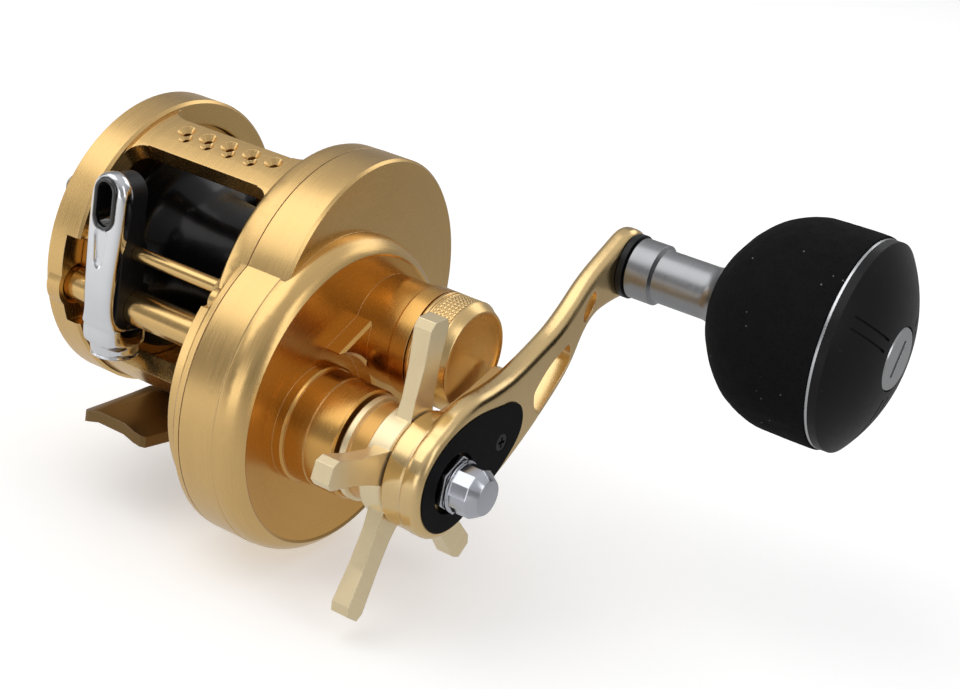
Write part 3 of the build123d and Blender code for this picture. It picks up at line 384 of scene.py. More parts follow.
def cover_deep(mat):
    """The dished face inside the disc's rim."""
    x, y, z = mat.xyz(mat.pos)
    return mat.mul(mat.ramp(mat.distance(y, z, DISC), zero=0.0226, one=0.0223),
                   mat.ramp(x, zero=0.0270, one=0.0274))


def frame_deep(mat):
    """Bore walls and other parts of the frame near the spool axis."""
    _, y, z = mat.xyz(mat.pos)
    return mat.mul(mat.ramp(mat.hypot(y, z), zero=0.0198, one=0.0195), 0.9)


def star_deep(mat):
    """A band across the star drag."""
    return mat.mul(mat.ramp(mat.xyz(mat.pos)[0], zero=0.0396, one=0.0398),
                   mat.ramp(mat.xyz(mat.pos)[0], zero=0.0424, one=0.0422))


def cap_deep(mat):
    """The dished end of the tension cap."""
    return mat.mul(mat.ramp(mat.xyz(mat.pos)[0], zero=0.0434, one=0.0437),
                   mat.ramp(mat.hypot(*from_axis(mat, SPOOL)), zero=0.0073, one=0.0072))


# ------------------------------------------------------------------ materials by CAD node
MATERIALS = {
    "frame": turned_metal("gold_frame", frame_centre, GOLD, rough=0.27, line=0.5, aniso=0.55,
                          deep_mask=frame_deep),
    "side_cover": turned_metal("gold_cover", cover_centre, GOLD, rough=0.25, line=0.5,
                               aniso=0.6, deep_mask=cover_deep),
    "palm_side_plate": turned_metal("gold_palm", SPOOL, GOLD, rough=0.26, line=0.5, aniso=0.6),
    "bearing_carrier": turned_metal("gold_carrier", SPOOL, GOLD_DEEP, rough=0.3, line=0.4,
                                    aniso=0.4),
    "level_wind_tube": turned_metal("gold_tube", WORM, GOLD, rough=0.2, line=0.45, aniso=0.45),
    "guide_rod": turned_metal("gold_rod", ROD, GOLD, rough=0.2, line=0.4, aniso=0.4),
    # painted shade: the reel foot's dark bronze colour stands for the shade under the reel
    "reel_foot": turned_metal("gold_foot_painted_shade", SPOOL, (0.22, 0.135, 0.055), rough=0.36, line=0.4,
                              aniso=0.4, linear=True),
    "star_drag": turned_metal("gold_star", DRIVE, (1.0, 0.80, 0.50), rough=0.32, line=0.3,
                              aniso=0.2, bevel=0.0002, metallic=0.75, deep_mask=star_deep),
    "handle_arm": turned_metal("gold_arm", DRIVE, GOLD_LIGHT, rough=0.22, line=0.25,
                               aniso=0.1, bevel=0.0004),
    "tension_cap": turned_metal("gold_cap", SPOOL, (0.86, 0.60, 0.27), rough=0.24, line=0.55,
                                aniso=0.6, deep_mask=cap_deep),
    "spool": turned_metal("black_spool", SPOOL, (0.006, 0.006, 0.007), rough=0.26, line=0.3,
                          aniso=0.3, coat=0.10, edge_highlight_gain=0.06, metallic=0.6),
}
STEEL_GREY = (0.56, 0.57, 0.58)
STEEL = turned_metal("steel", SPOOL, STEEL_GREY, rough=0.24, line=0.4, aniso=0.3)
STEEL_DRIVE = turned_metal("steel_drive", DRIVE, STEEL_GREY, rough=0.24, line=0.4, aniso=0.3)
STEEL_KNOB = turned_metal("steel_knob", KNOB, (0.60, 0.61, 0.63), rough=0.22, line=0.4,
                          aniso=0.4)
STEEL_FERRULE = turned_metal("steel_ferrule", KNOB, (0.36, 0.365, 0.38), rough=0.30, line=0.5,
                             aniso=0.4)
BRASS = turned_metal("brass", DRIVE, (0.72, 0.52, 0.24), rough=0.25, line=0.4, aniso=0.3)
CHROME = polished("chrome", (0.80, 0.81, 0.84), rough=0.06, bevel=0.0003)
BLACK = plastic("black_satin", (0.008, 0.008, 0.009), rough=0.38, specular=0.3)
GLOSS = plastic("black_gloss", (0.006, 0.006, 0.007), rough=0.40, grain=900.0,
                grain_height=0.05, coat=0.03, specular=0.22)
CERAMIC = plastic("black_ceramic", (0.008, 0.008, 0.009), rough=0.08, grain=600.0,
                  grain_height=0.02, bevel=0.0002, coat=0.8)
NITRILE = plastic("nitrile", (0.012, 0.012, 0.012), rough=0.5)
CARBON = carbon("carbon")
FOAM = foam("foam_black")
INSERT = plastic("black_insert", (0.006, 0.006, 0.007), rough=0.55, grain=900.0,
                 grain_height=0.06, specular=0.06)

# Nodes named nowhere here are plain STEEL.
for material, names in (
        (STEEL_DRIVE, "drive_shaft drag_plates pressure_plate spring_washers clutch_sleeve "
                      "one_way_bearing yoke_posts yoke_springs"),
        (STEEL_KNOB, "knob_shaft knob_bearings knob_ring knob_cap_screw"),
        (STEEL_FERRULE, "knob_core"),
        (BRASS, "main_gear worm_bushings tension_shims worm_gear yoke pinion "
                "drive_shaft_bearing"),
        (CHROME, "handle_nut nut_cap line_guide_cover pawl_cap"),
        (BLACK, "brake_hub brake_blocks level_wind_gear thumb_bar line_guide_body "
                "knob_washer insert_screw"),
        (GLOSS, "knob_cap"),
        (INSERT, "handle_insert"),
        (CERAMIC, "line_eye"),
        (NITRILE, "cap_o_ring"),
        (CARBON, "drag_washers"),
        (FOAM, "knob_grip")):
    MATERIALS.update(dict.fromkeys(names.split(), material))


# ------------------------------------------------------------------ shading of the CAD nodes


def smooth_group(degrees):
    """Geometry nodes: weld, shade smooth, and keep edges over the angle sharp."""
    group = bpy.data.node_groups.new("smooth_by_angle_%d" % degrees, "GeometryNodeTree")
    for direction in ("INPUT", "OUTPUT"):
        group.interface.new_socket("Geometry", in_out=direction,
                                   socket_type="NodeSocketGeometry")
    source = group.nodes.new("NodeGroupInput")
    result = group.nodes.new("NodeGroupOutput")
    weld = group.nodes.new("GeometryNodeMergeByDistance")
    weld.inputs["Distance"].default_value = 2e-7
    smooth = group.nodes.new("GeometryNodeSetShadeSmooth")
    smooth.inputs["Shade Smooth"].default_value = True
    sharpen = group.nodes.new("GeometryNodeSetShadeSmooth")
    sharpen.domain = "EDGE"
    sharpen.inputs["Shade Smooth"].default_value = False
    edge_angle = group.nodes.new("GeometryNodeInputMeshEdgeAngle")
    over = group.nodes.new("FunctionNodeCompare")
    over.operation = "GREATER_THAN"
    over.inputs[1].default_value = math.radians(degrees)
    for start, end in ((source.outputs[0], weld.inputs[0]),
                       (weld.outputs[0], smooth.inputs[0]),
                       (smooth.outputs[0], sharpen.inputs[0]),
                       (edge_angle.outputs[0], over.inputs[0]),
                       (over.outputs[0], sharpen.inputs["Selection"]),
                       (sharpen.outputs[0], result.inputs[0])):
        group.links.new(start, end)
    return group


def weight_normals(ob):
    modifier = ob.modifiers.new("weighted", "WEIGHTED_NORMAL")
    modifier.keep_sharp = True
    modifier.weight = 80


smoothing = smooth_group(21)
for name, ob in NODES.items():
    ob.data.materials.clear()
    ob.data.materials.append(MATERIALS.get(name, STEEL))
    ob.modifiers.new("smooth", "NODES").node_group = smoothing
    weight_normals(ob)


# ------------------------------------------------------------------ shape helpers, in mm


def to_mesh(bm):
    mesh = bpy.data.meshes.new("work")
    bmesh.ops.recalc_face_normals(bm, faces=bm.faces)
    bm.to_mesh(mesh)
    bm.free()
    return mesh


def from_mesh(*meshes):
    bm = bmesh.new()
    for mesh in meshes:
        bm.from_mesh(mesh)
    return bm


def finish_piece(name, bm, materials, body, replaces, angle):
    """Move a piece from mm into the frame, clean it, shade it, attach it to its body and hide
    the CAD nodes it replaces.
    """
    for vert in bm.verts:
        vert.co = vert.co * MM + ORIGIN
    mesh = to_mesh(bm)
    bm = from_mesh(mesh)
    bmesh.ops.remove_doubles(bm, verts=bm.verts, dist=2e-7)
    bmesh.ops.dissolve_degenerate(bm, edges=bm.edges, dist=1e-7)
    bmesh.ops.recalc_face_normals(bm, faces=bm.faces)
    bm.to_mesh(mesh)
    bm.free()
    for face in mesh.polygons:
        face.use_smooth = True
    mesh.set_sharp_from_angle(angle=math.radians(angle))
    mesh.name = name
    mesh.materials.clear()
    for material in materials:
        mesh.materials.append(material)
    ob = bpy.data.objects.new(name, mesh)
    bpy.context.scene.collection.objects.link(ob)
    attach(ob, body)
    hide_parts(*replaces)
    weight_normals(ob)


def evaluated_mesh(ob):
    bpy.context.view_layer.update()
    return bpy.data.meshes.new_from_object(
        ob.evaluated_get(bpy.context.evaluated_depsgraph_get()))


def subtract(mesh, cutters):
    """The mesh with each cutter mesh taken away."""
    base = bpy.data.objects.new("work", mesh)
    bpy.context.scene.collection.objects.link(base)
    temporary = [base]
    for cutter in cutters:
        ob = bpy.data.objects.new("cut", cutter)
        bpy.context.scene.collection.objects.link(ob)
        temporary.append(ob)
        modifier = base.modifiers.new("cut", "BOOLEAN")
        modifier.operation = "DIFFERENCE"
        modifier.solver = "EXACT"
        modifier.object = ob
    result = evaluated_mesh(base)
    for ob in temporary:
        bpy.data.objects.remove(ob)
    return result


def lathe(profile, axis, segments, reshape=None, slot_at=None):
    """Solid of revolution about X from a closed loop of (x, radius).

    reshape(x, radius, angle) moves points; slot_at(x, radius) picks each face's material.
    """
    bm = bmesh.new()
    axis_y, axis_z = axis[0] / MM, axis[1] / MM
    count = len(profile)
    on_axis = {i: bm.verts.new((x, axis_y, axis_z))
               for i, (x, radius) in enumerate(profile) if radius < 1e-6}
    rings = []
    for segment in range(segments):
        angle = 2 * math.pi * segment / segments
        ring = []
        for i, (x, radius) in enumerate(profile):
            if i in on_axis:
                ring.append(on_axis[i])
                continue
            if reshape:
                x, radius = reshape(x, radius, angle)
            ring.append(bm.verts.new((x, axis_y + radius * math.cos(angle),
                                      axis_z + radius * math.sin(angle))))
        rings.append(ring)
    for segment in range(segments):
        near, far = rings[segment], rings[(segment + 1) % segments]
        for i in range(count):
            j = (i + 1) % count
            corners = []
            for vert in (near[i], near[j], far[j], far[i]):
                if vert not in corners:
                    corners.append(vert)
            if len(corners) >= 3:
                face = bm.faces.new(corners)
                if slot_at:
                    face.material_index = slot_at((profile[i][0] + profile[j][0]) / 2,
                                                  (profile[i][1] + profile[j][1]) / 2)
    return bm


def catmull(points, steps, closed=False):
    """Catmull-Rom curve through points of any dimension."""
    curve = []
    count = len(points)
    for i in range(count if closed else count - 1):
        if closed:
            span = [points[(i + k) % count] for k in (-1, 0, 1, 2)]
        else:
            span = [points[min(max(i + k, 0), count - 1)] for k in (-1, 0, 1, 2)]
        for step in range(steps):
            t = step / steps
            curve.append(tuple(
                0.5 * (2 * b + (c - a) * t + (2 * a - 5 * b + 4 * c - d) * t * t
                       + (3 * b - a - 3 * c + d) * t ** 3)
                for a, b, c, d in zip(*span)))
    if not closed:
        curve.append(points[-1])
    return curve


def rounded(points, radius, steps):
    """Closed (x, radius) loop with each corner off the axis rounded by up to radius."""
    loop = []
    count = len(points)
    for i in range(count):
        before, corner, after = (Vector((*points[k], 0)) for k in (i - 1, i, (i + 1) % count))
        if corner.y < 1e-6:
            loop.append((corner.x, 0.0))
            continue
        back, ahead = before - corner, after - corner
        reach = min(radius, back.length * 0.45, ahead.length * 0.45)
        if abs(back.normalized().dot(ahead.normalized())) > 0.999:
            loop.append((corner.x, corner.y))
            continue
        start = corner + back.normalized() * reach
        end = corner + ahead.normalized() * reach
        for step in range(steps + 1):
            t = step / steps
            point = start * (1 - t) ** 2 + corner * 2 * t * (1 - t) + end * t * t
            loop.append((point.x, point.y))
    return loop


def prism(outline, start, end, to_point):
    """Closed prism from a 2-D outline; to_point(p, depth) gives the 3-D point."""
    bm = bmesh.new()
    low = [bm.verts.new(to_point(p, start)) for p in outline]
    high = [bm.verts.new(to_point(p, end)) for p in outline]
    bm.faces.new(low)
    bm.faces.new(list(reversed(high)))
    count = len(outline)
    for i in range(count):
        j = (i + 1) % count
        bm.faces.new((low[i], high[i], high[j], low[j]))
    return bm


def bridge(bm, rings):
    """Quads between each ring of vertices and the next."""
    for near, far in zip(rings, rings[1:]):
        for i in range(len(near)):
            j = (i + 1) % len(near)
            bm.faces.new((near[i], near[j], far[j], far[i]))


def arc(centre, radius, degrees):
    """Points about (centre, 0) at each angle."""
    return [(centre + radius * math.cos(math.radians(a)), radius * math.sin(math.radians(a)))
            for a in degrees]


# ------------------------------------------------------------------ turned pieces


def foam_grip():
    """Foam knob grip, very slightly uneven outside its bore."""
    low, high = node_box("knob_grip")
    x0, x1 = low.x, high.x
    # (x, radius)
    outer = catmull([(x0 + 0.05, 6.75), (x0 + 0.6, 7.9), (x0 + 1.5, 9.3), (x0 + 3.7, 12.1),
                     (x0 + 6.7, 14.55), (x0 + 11.0, 16.2), (x0 + 15.5, 16.42),
                     (x1 - 0.6, 16.42), (x1 - 0.02, 16.1)], 10)
    bore = [(x1 - 0.02, 6.62), (x0 + 0.05, 6.62)]
    swell, pitting, limit = 0.035, 0.02, 16.48   # noise heights and the largest radius

    def uneven(x, radius, angle):
        if radius < 6.8:
            return x, radius
        point = Vector((x * 0.55, radius * math.cos(angle) * 0.55,
                        radius * math.sin(angle) * 0.55))
        offset = (noise.fractal(point, 0.8, 2.0, 3) * swell
                  + noise.noise(point * 6.0) * pitting)
        return x, min(radius + offset, limit)

    finish_piece("foam_grip", lathe(outer + bore, KNOB, 220, uneven), [FOAM], "knob_body",
                 ["knob_grip"], angle=50)


def spool():
    """Spool, the same on both sides of x = 0."""
    def mirrored(points):
        return [(-x, radius) for x, radius in reversed(points)]

    # (x, radius) on the -X side
    flange = [(-12.9, 1.52), (-12.9, 4.0), (-12.9, 7.0), (-12.4, 9.0), (-12.9, 16.2),
              (-12.88, 16.7), (-12.68, 16.88), (-12.0, 16.88)]
    valley = [(-11.75, 16.6), (-11.2, 14.9), (-10.2, 12.7), (-7.3, 10.45), (-3.6, 9.75)]
    floor_curve = catmull(valley + [(0.0, 9.6)] + mirrored(valley), 6)
    finish_piece("spool_turned", lathe(flange + floor_curve + mirrored(flange), SPOOL, 200),
                 [MATERIALS["spool"]], "spool_body", ["spool"], angle=30)


def tension_cap():
    """Spool tension cap: diamond knurl, bright chamfer and band, dished end."""
    end_x = node_box("tension_cap")[1].x
    cap_r, dish_r = 8.5, 6.9
    knurl_x, knurl_length, knurl_rows = 38.72, 3.66, 26
    knurl_end = knurl_x + knurl_length
    knurl_count, knurl_pitch, knurl_depth = 76, 0.70, 0.17
    fade_length, least_depth = 0.25, 0.15        # the knurl shallows at both ends

    # (x, radius): skirt and groove, knurl, chamfer and rim, dish
    profile = [(41.8, 0.0), (41.8, 7.1), (37.5, 7.1), (37.5, 8.25), (37.62, 8.45),
               (37.8, cap_r), (38.1, cap_r), (38.2, 8.42), (38.22, 8.28), (38.5, 8.28)]
    profile += [(knurl_x + knurl_length * k / knurl_rows, cap_r) for k in range(knurl_rows + 1)]
    profile += [(42.5, 8.36), (42.56, 8.3), (43.9, 7.56), (end_x, 7.42), (end_x, 7.32),
                (43.86, 7.2), (43.72, 7.12), (43.66, dish_r)]
    profile += [(43.66 - 0.16 * (1 - (radius / dish_r) ** 2), radius)
                for radius in (6.0, 5.0, 4.0, 3.0, 2.0, 1.0, 0.5)]
    profile += [(43.5, 0.0)]

    def triangle(t):
        return abs((t % 1.0) - 0.5) * 2

    def knurl(x, radius, angle):
        if knurl_x - 0.02 < x < knurl_end + 0.02 and radius > 8.4:
            turn = knurl_count * angle / (2 * math.pi)
            groove = 1 - min(triangle(turn + x / knurl_pitch), triangle(turn - x / knurl_pitch))
            fade = min(1.0, (x - knurl_x) / fade_length, (knurl_end - x) / fade_length)
            return x, cap_r - knurl_depth * groove ** 1.5 * max(fade, least_depth)
        return x, radius

    def slot_at(x, radius):
        if x < 38.25 and radius > 7.9:
            return 2
        if 42.5 < x < 43.95 and radius > 7.3:
            return 1
        return 3 if (x > 43.4 and radius < 7.3) else 0

    bm = lathe(profile, SPOOL, 380, knurl, slot_at)
    chamfer = turned_metal("silver_chamfer", SPOOL, (0.66, 0.68, 0.72), rough=0.2, line=0.4,
                           aniso=0.5)
    band = turned_metal("silver_band", SPOOL, (0.52, 0.54, 0.60), rough=0.22, line=0.4,
                        aniso=0.5)
    dish = turned_metal("gold_cap_face", SPOOL, (0.62, 0.34, 0.10), rough=0.2, line=0.5,
                        aniso=0.9, bevel=0.0001)
    finish_piece("tension_cap_knurled", bm, [MATERIALS["tension_cap"], chamfer, band, dish],
                 "tension_cap_body", ["tension_cap"], angle=30)


def nut_cover():
    """Twelve-sided chrome cap with a bevelled end and a round flange."""
    low, high = node_box("nut_cap")
    x0, x1 = low.x, high.x
    bore_r, flange_r, side_r = 2.66, 3.95, 3.62
    profile = rounded([(x0, bore_r), (x0, flange_r), (x0 + 0.45, flange_r), (x0 + 0.6, side_r),
                       (x1 - 1.5, side_r), (x1 - 0.04, 2.62), (x1, 0.0), (x1 - 0.8, 0.0),
                       (x1 - 0.8, bore_r)], radius=0.09, steps=3)
    side = 2 * math.pi / 12
    flatness, shrink = 0.9, 0.985

    def facets(x, radius, angle):
        if radius > 2.7 and x > x0 + 0.5:
            flat = math.cos(side / 2) / math.cos((angle % side) - side / 2)
            return x, radius * (1 + (flat - math.cos(side / 2)) * flatness) * shrink
        return x, radius

    bm = lathe(profile, DRIVE, 192, facets)
    metal = polished("chrome_cap", (0.62, 0.64, 0.70), rough=0.12, bevel=0.00015)
    finish_piece("nut_cover", bm, [metal], "crank_body", ["nut_cap"], angle=14)


# ------------------------------------------------------------------ crank arm
# Laid out flat as (along, across): from the drive axis towards the knob, and square to that.
ARM_HUB_R = 8.75
ARM_TIP, ARM_TIP_R = 51, 5.5
ARM_HALF = 1.75          # half thickness while flat
ARM_ROUND = 1.25         # radius of the rounded edges
ARM_TOP = [(0.0, ARM_HUB_R), (4.0, 9.1), (8.0, 8.6), (12.5, 7.0), (17.5, 5.3), (23.0, 4.1),
           (28.5, 3.5), (34.0, 3.9), (39.5, 4.8), (44.0, 5.2), (ARM_TIP, ARM_TIP_R)]
ARM_BOTTOM = [(ARM_TIP, -ARM_TIP_R), (47.5, -4.2), (44.0, -2.9), (40.0, -1.9), (36.5, -2.5),
              (32.0, -5.1), (27.0, -6.9), (21.0, -7.6), (15.0, -7.7), (9.0, -7.9),
              (4.0, -8.5), (0.0, -ARM_HUB_R)]
ARM_WINDOWS = [
    [(31.3, -0.4), (32.2, -1.6), (31.6, -3.7), (28.4, -5.0), (23.4, -6.1), (21.9, -5.9),
     (21.0, -4.4), (21.3, -2.2), (22.6, -1.3), (27.0, -0.4)],
    [(40.2, 2.9), (41.0, 2.2), (40.6, 0.8), (38.2, -0.4), (36.9, -0.3), (36.6, 0.6),
     (37.5, 2.1), (39.0, 2.8)]]
ARM_INSERT = [(0, 7.5), (5, 7.2), (9.5, 5.6), (14.0, 3.0), (16.6, 1.0), (17.1, -1.2),
              (16.0, -3.8), (13.0, -5.6), (8.0, -6.9), (3.5, -7.4), (0, -7.5), (-5.3, -5.3),
              (-7.5, 0), (-5.3, 5.3)]
# (along, x) of the faces towards and away from the spool
ARM_INNER_X = [(10, 49.32), (29, 48.15), (44, 47.62)]
ARM_OUTER_X = [(10, 52.98), (29, 51.75), (44, 50.98)]
INSERT_FLOOR_X = 52.0
CUT_X = (40, 60)         # cutters pass right through the arm
DRIVE_Y, DRIVE_Z = DRIVE[0] / MM, DRIVE[1] / MM


def arm_point(point, x):
    along, across = point
    return (x, DRIVE_Y + along * CRANK_DIR.y - across * CRANK_DIR.z,
            DRIVE_Z + along * CRANK_DIR.z + across * CRANK_DIR.y)


def eased(table, along):
    """Smoothstep between the rows of an (along, x) table, level beyond its ends."""
    for (a, x), (b, y) in zip(table, table[1:]):
        if along <= b:
            t = max(0.0, (along - a) / (b - a))
            return x + (y - x) * (t * t * (3 - 2 * t))
    return table[-1][1]


def flat_arm():
    """Flat blade with rounded edges, sliced across so that it can bend."""
    outline = catmull(ARM_TOP, 8)[:-1]
    outline += arc(ARM_TIP, ARM_TIP_R, range(90, -90, -9))
    outline += catmull(ARM_BOTTOM, 8)[:-1]
    outline += arc(0, ARM_HUB_R, range(-90, -270, -6))
    curve = bpy.data.curves.new("armcurve", "CURVE")
    curve.dimensions = "2D"
    curve.fill_mode = "BOTH"
    curve.extrude = ARM_HALF - ARM_ROUND
    curve.bevel_depth = ARM_ROUND
    curve.bevel_resolution = 5
    curve.offset = -ARM_ROUND
    spline = curve.splines.new("POLY")
    spline.points.add(len(outline) - 1)
    for point, (along, across) in zip(spline.points, outline):
        point.co = (along, across, 0, 1)
    spline.use_cyclic_u = True
    ob = bpy.data.objects.new("armcurve", curve)
    bpy.context.scene.collection.objects.link(ob)
    bm = from_mesh(evaluated_mesh(ob))
    bpy.data.objects.remove(ob)
    bmesh.ops.remove_doubles(bm, verts=bm.verts, dist=1e-4)
    for k in range(1, 44):
        bmesh.ops.bisect_plane(bm, geom=bm.verts[:] + bm.edges[:] + bm.faces[:], dist=1e-5,
                               plane_co=(-ARM_HUB_R + 1.5 * k, 0, 0), plane_no=(1, 0, 0))
    return bm


def crank_arm():
    """Bent blade with two windows, a recess for the insert, two bores and a hub."""
    bm = flat_arm()
    for vert in bm.verts:
        along, across, height = vert.co
        inner_x, outer_x = eased(ARM_INNER_X, along), eased(ARM_OUTER_X, along)
        x = (inner_x + outer_x) / 2 + height / ARM_HALF * (outer_x - inner_x) / 2
        vert.co = arm_point((along, across), x)
    blade = to_mesh(bm)

    low, high = CUT_X
    cutters = [to_mesh(prism(catmull(window, 8, True), low, high, arm_point))
               for window in ARM_WINDOWS]
    clearance = 1.004
    recess = [(along * clearance, across * clearance)
              for along, across in catmull(ARM_INSERT, 8, True)]
    cutters.append(to_mesh(prism(recess, INSERT_FLOOR_X, high, arm_point)))
    for axis, radius in ((DRIVE, 2.9), (KNOB, 2.03)):
        bore = [(low, 0.0), (low, radius), (high, radius), (high, 0.0)]
        cutters.append(to_mesh(lathe(bore, axis, 48)))
    blade = subtract(blade, cutters)
    hub = to_mesh(lathe(rounded([(46.76, 3.1), (46.76, 8.6), (49.9, 8.6), (49.9, 3.1)],
                                radius=0.35, steps=4), DRIVE, 160))

    # window walls, found by their place and by facing sideways, take the second material
    bm = from_mesh(blade, hub)
    for face in bm.faces:
        centre = face.calc_center_median()
        y, z = centre.y - DRIVE_Y, centre.z - DRIVE_Z
        along = y * CRANK_DIR.y + z * CRANK_DIR.z
        across = -y * CRANK_DIR.z + z * CRANK_DIR.y
        in_window = ((20.5 < along < 32.6 and -6.35 < across < 0.1)
                     or (36.2 < along < 41.3 and -0.7 < across < 3.1))
        face.material_index = 1 if in_window and abs(face.normal.x) < 0.3 else 0
    bmesh.ops.triangulate(bm, faces=[face for face in bm.faces if len(face.verts) > 4])
    wall = turned_metal("gold_window", DRIVE, (0.70, 0.40, 0.12), rough=0.38, line=0.15,
                        aniso=0.0, bevel=0.0001)
    finish_piece("crank_arm", bm, [MATERIALS["handle_arm"], wall], "crank_body",
                 ["handle_arm"], angle=38)


# ------------------------------------------------------------------ line guide
guide_low, guide_high = node_box("line_guide_cover")
GUIDE_X = (guide_low.x + guide_high.x) / 2
EYE_Z = 12.4
EYE_STRAIGHT = 1.9       # half length of the eye's straight sides
HOLLOW_Z = 5.6
# z, half width, front y, back y, superellipse exponent
GUIDE_SECTIONS = [
    (17.02, 0.5, -24.1, -22.6, 2.0), (16.85, 1.25, -24.5, -22.2, 2.1),
    (16.4, 2.0, -24.8, -21.9, 2.3), (15.6, 2.7, -24.98, -21.6, 2.5),
    (14.5, 3.15, -25.05, -21.5, 2.8), (13.0, 3.32, -25.1, -21.5, 3.0),
    (10.0, 3.34, -25.15, -21.6, 3.0), (7.0, 3.22, -25.22, -22.1, 3.0),
    (4.0, 3.02, -25.3, -22.7, 2.8), (1.0, 2.85, -25.34, -23.0, 2.6),
    (-2.0, 2.75, -25.28, -23.1, 2.5), (-4.4, 2.75, -25.0, -22.9, 2.5),
    (-5.8, 3.05, -24.7, -22.5, 2.8), (-6.8, 3.4, -24.5, -21.4, 3.4),
    (-7.25, 3.6, -24.35, -17.0, 4.0), (-8.2, 3.7, -24.3, -16.2, 4.0),
    (-9.6, 3.7, -24.15, -16.0, 3.6), (-10.3, 3.58, -23.7, -15.96, 2.3),
    (-11.4, 3.52, -23.5, -16.0, 2.0), (-11.75, 3.3, -23.3, -16.2, 2.0),
    (-11.9, 3.5, -23.5, -16.0, 2.0), (-12.15, 3.4, -23.4, -16.1, 2.0),
    (-12.4, 2.6, -22.6, -16.9, 2.0), (-12.5, 1.3, -21.2, -18.2, 2.0)]
# radius of the end arcs, y: around the section of the eye ring
EYE_SECTION = [(1.4, -24.4), (1.42, -24.9), (1.55, -25.2), (1.78, -25.3), (2.0, -25.2),
               (2.15, -24.9), (2.17, -24.4), (2.17, -19.1), (2.0, -18.95), (1.6, -18.95),
               (1.4, -19.2)]


def capsule(radius, straight, z, taper=1.0):
    """Upright (x, z) capsule; taper scales its lower arc."""
    angles = [math.pi * k / 20 for k in range(21)]
    lower = radius * taper
    return ([(radius * math.cos(a), z + straight + radius * math.sin(a)) for a in angles]
            + [(-lower * math.cos(a), z - straight - lower * math.sin(a)) for a in angles])


def guide_point(point, y):
    return (GUIDE_X + point[0], y, point[1])


def hollow_point(point, depth):
    """The front hollow narrows from depth 0, outside the shell, to depth 1, inside it."""
    scale = 1.75 + (0.85 - 1.75) * depth
    return guide_point((point[0] * scale, HOLLOW_Z + (point[1] - HOLLOW_Z) * scale),
                       -26.5 + (-24.75 + 26.5) * depth)


def line_guide_front():
    """Chrome shell of the line guide, with an eye hole and a teardrop hollow."""
    def power(value, exponent):
        return math.copysign(abs(value) ** (2 / exponent), value)

    bm = bmesh.new()
    rings = []
    sides = 56
    for z, half_width, front, back, exponent in catmull(GUIDE_SECTIONS, 3):
        middle, half_depth = (front + back) / 2, (back - front) / 2
        ring = []
        for k in range(sides):
            angle = 2 * math.pi * k / sides
            ring.append(bm.verts.new((GUIDE_X + half_width * power(math.cos(angle), exponent),
                                      middle + half_depth * power(math.sin(angle), exponent),
                                      z)))
        rings.append(ring)
    bridge(bm, rings)
    bm.faces.new(rings[0])
    bm.faces.new(list(reversed(rings[-1])))

    eye_hole = prism(capsule(2.22, EYE_STRAIGHT, EYE_Z), -30, -10, guide_point)
    hollow = prism(capsule(1.25, 1.85, HOLLOW_Z, taper=0.62), 0.0, 1.0, hollow_point)
    shell = subtract(to_mesh(bm), [to_mesh(eye_hole), to_mesh(hollow)])
    finish_piece("line_guide_front", from_mesh(shell), [CHROME], "line_guide_body",
                 ["line_guide_cover", "pawl_cap"], angle=40)


def line_eye_ring():
    """Oval ceramic ring with a rounded lip at the front."""
    bm = bmesh.new()
    sides = 72
    angles = [2 * math.pi * (k + 0.5) / sides for k in range(sides)]
    rings = []
    for radius, y in EYE_SECTION:
        rings.append([bm.verts.new((GUIDE_X + radius * math.cos(a), y,
                                    EYE_Z + math.copysign(EYE_STRAIGHT, math.sin(a))
                                    + radius * math.sin(a)))
                      for a in angles])
    bridge(bm, rings + rings[:1])
    finish_piece("line_eye_ring", bm, [CERAMIC], "line_guide_body",
                 ["line_eye"], angle=50)


foam_grip()
spool()
tension_cap()
nut_cover()
crank_arm()
line_guide_front()
line_eye_ring()


# ------------------------------------------------------------------ stage, in metres


def floor_material():
    """Pale floor; rays that are not from the camera see a glow fading towards +X and +Y."""
    mat = NodeMaterial("stage_floor")
    mat.set(Base_Color=mat.mix(mat.noise(mat.pos, scale=3.0),
                               (0.88, 0.88, 0.885), (0.92, 0.92, 0.92)),
            Roughness=0.9, Specular_IOR_Level=0.1)
    from_camera = mat.node("ShaderNodeLightPath").outputs["Is Camera Ray"]
    lift = mat.node("ShaderNodeEmission", {"Color": (1, 1, 1), "Strength": 0.36})
    seen = mat.node("ShaderNodeAddShader", {0: mat.bsdf.outputs[0], 1: lift.outputs[0]})
    x, y, _ = mat.xyz(mat.pos)
    glow = mat.ramp(mat.add(mat.mul(x, 0.75), mat.mul(y, 0.65)),
                    zero=-0.16, one=0.14, low=0.90, high=0.34)
    reflected = mat.node("ShaderNodeEmission", {"Color": (1.0, 0.995, 0.985),
                                                "Strength": glow})
    either = mat.node("ShaderNodeMixShader", {0: from_camera, 1: reflected.outputs[0],
                                              2: seen.outputs[0]})
    mat.put(mat.output.inputs[0], either.outputs[0])
    return mat.material


def build_floor():
    """Floor that curves up behind the reel."""
    drop, half_width, reach, bend_r = 0.0005, 4, 3.0, 0.8
    floor_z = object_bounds()[0].z - drop
    material = floor_material()
    profile = [(-reach, 0.0)]      # (y, z)
    for k in range(9):
        angle = k * math.pi / 16
        profile.append((reach + bend_r * math.sin(angle), bend_r - bend_r * math.cos(angle)))
    bm = bmesh.new()
    rows = [[bm.verts.new((x, y, floor_z + z)) for x in (-half_width, half_width)]
            for y, z in profile]
    for near, far in zip(rows, rows[1:]):
        bm.faces.new((near[0], near[1], far[1], far[0]))
    mesh = bpy.data.meshes.new("floor")
    bm.to_mesh(mesh)
    bm.free()
    for face in mesh.polygons:
        face.use_smooth = True
    mesh.materials.append(material)
    floor = bpy.data.objects.new("floor", mesh)
    bpy.context.scene.collection.objects.link(floor)


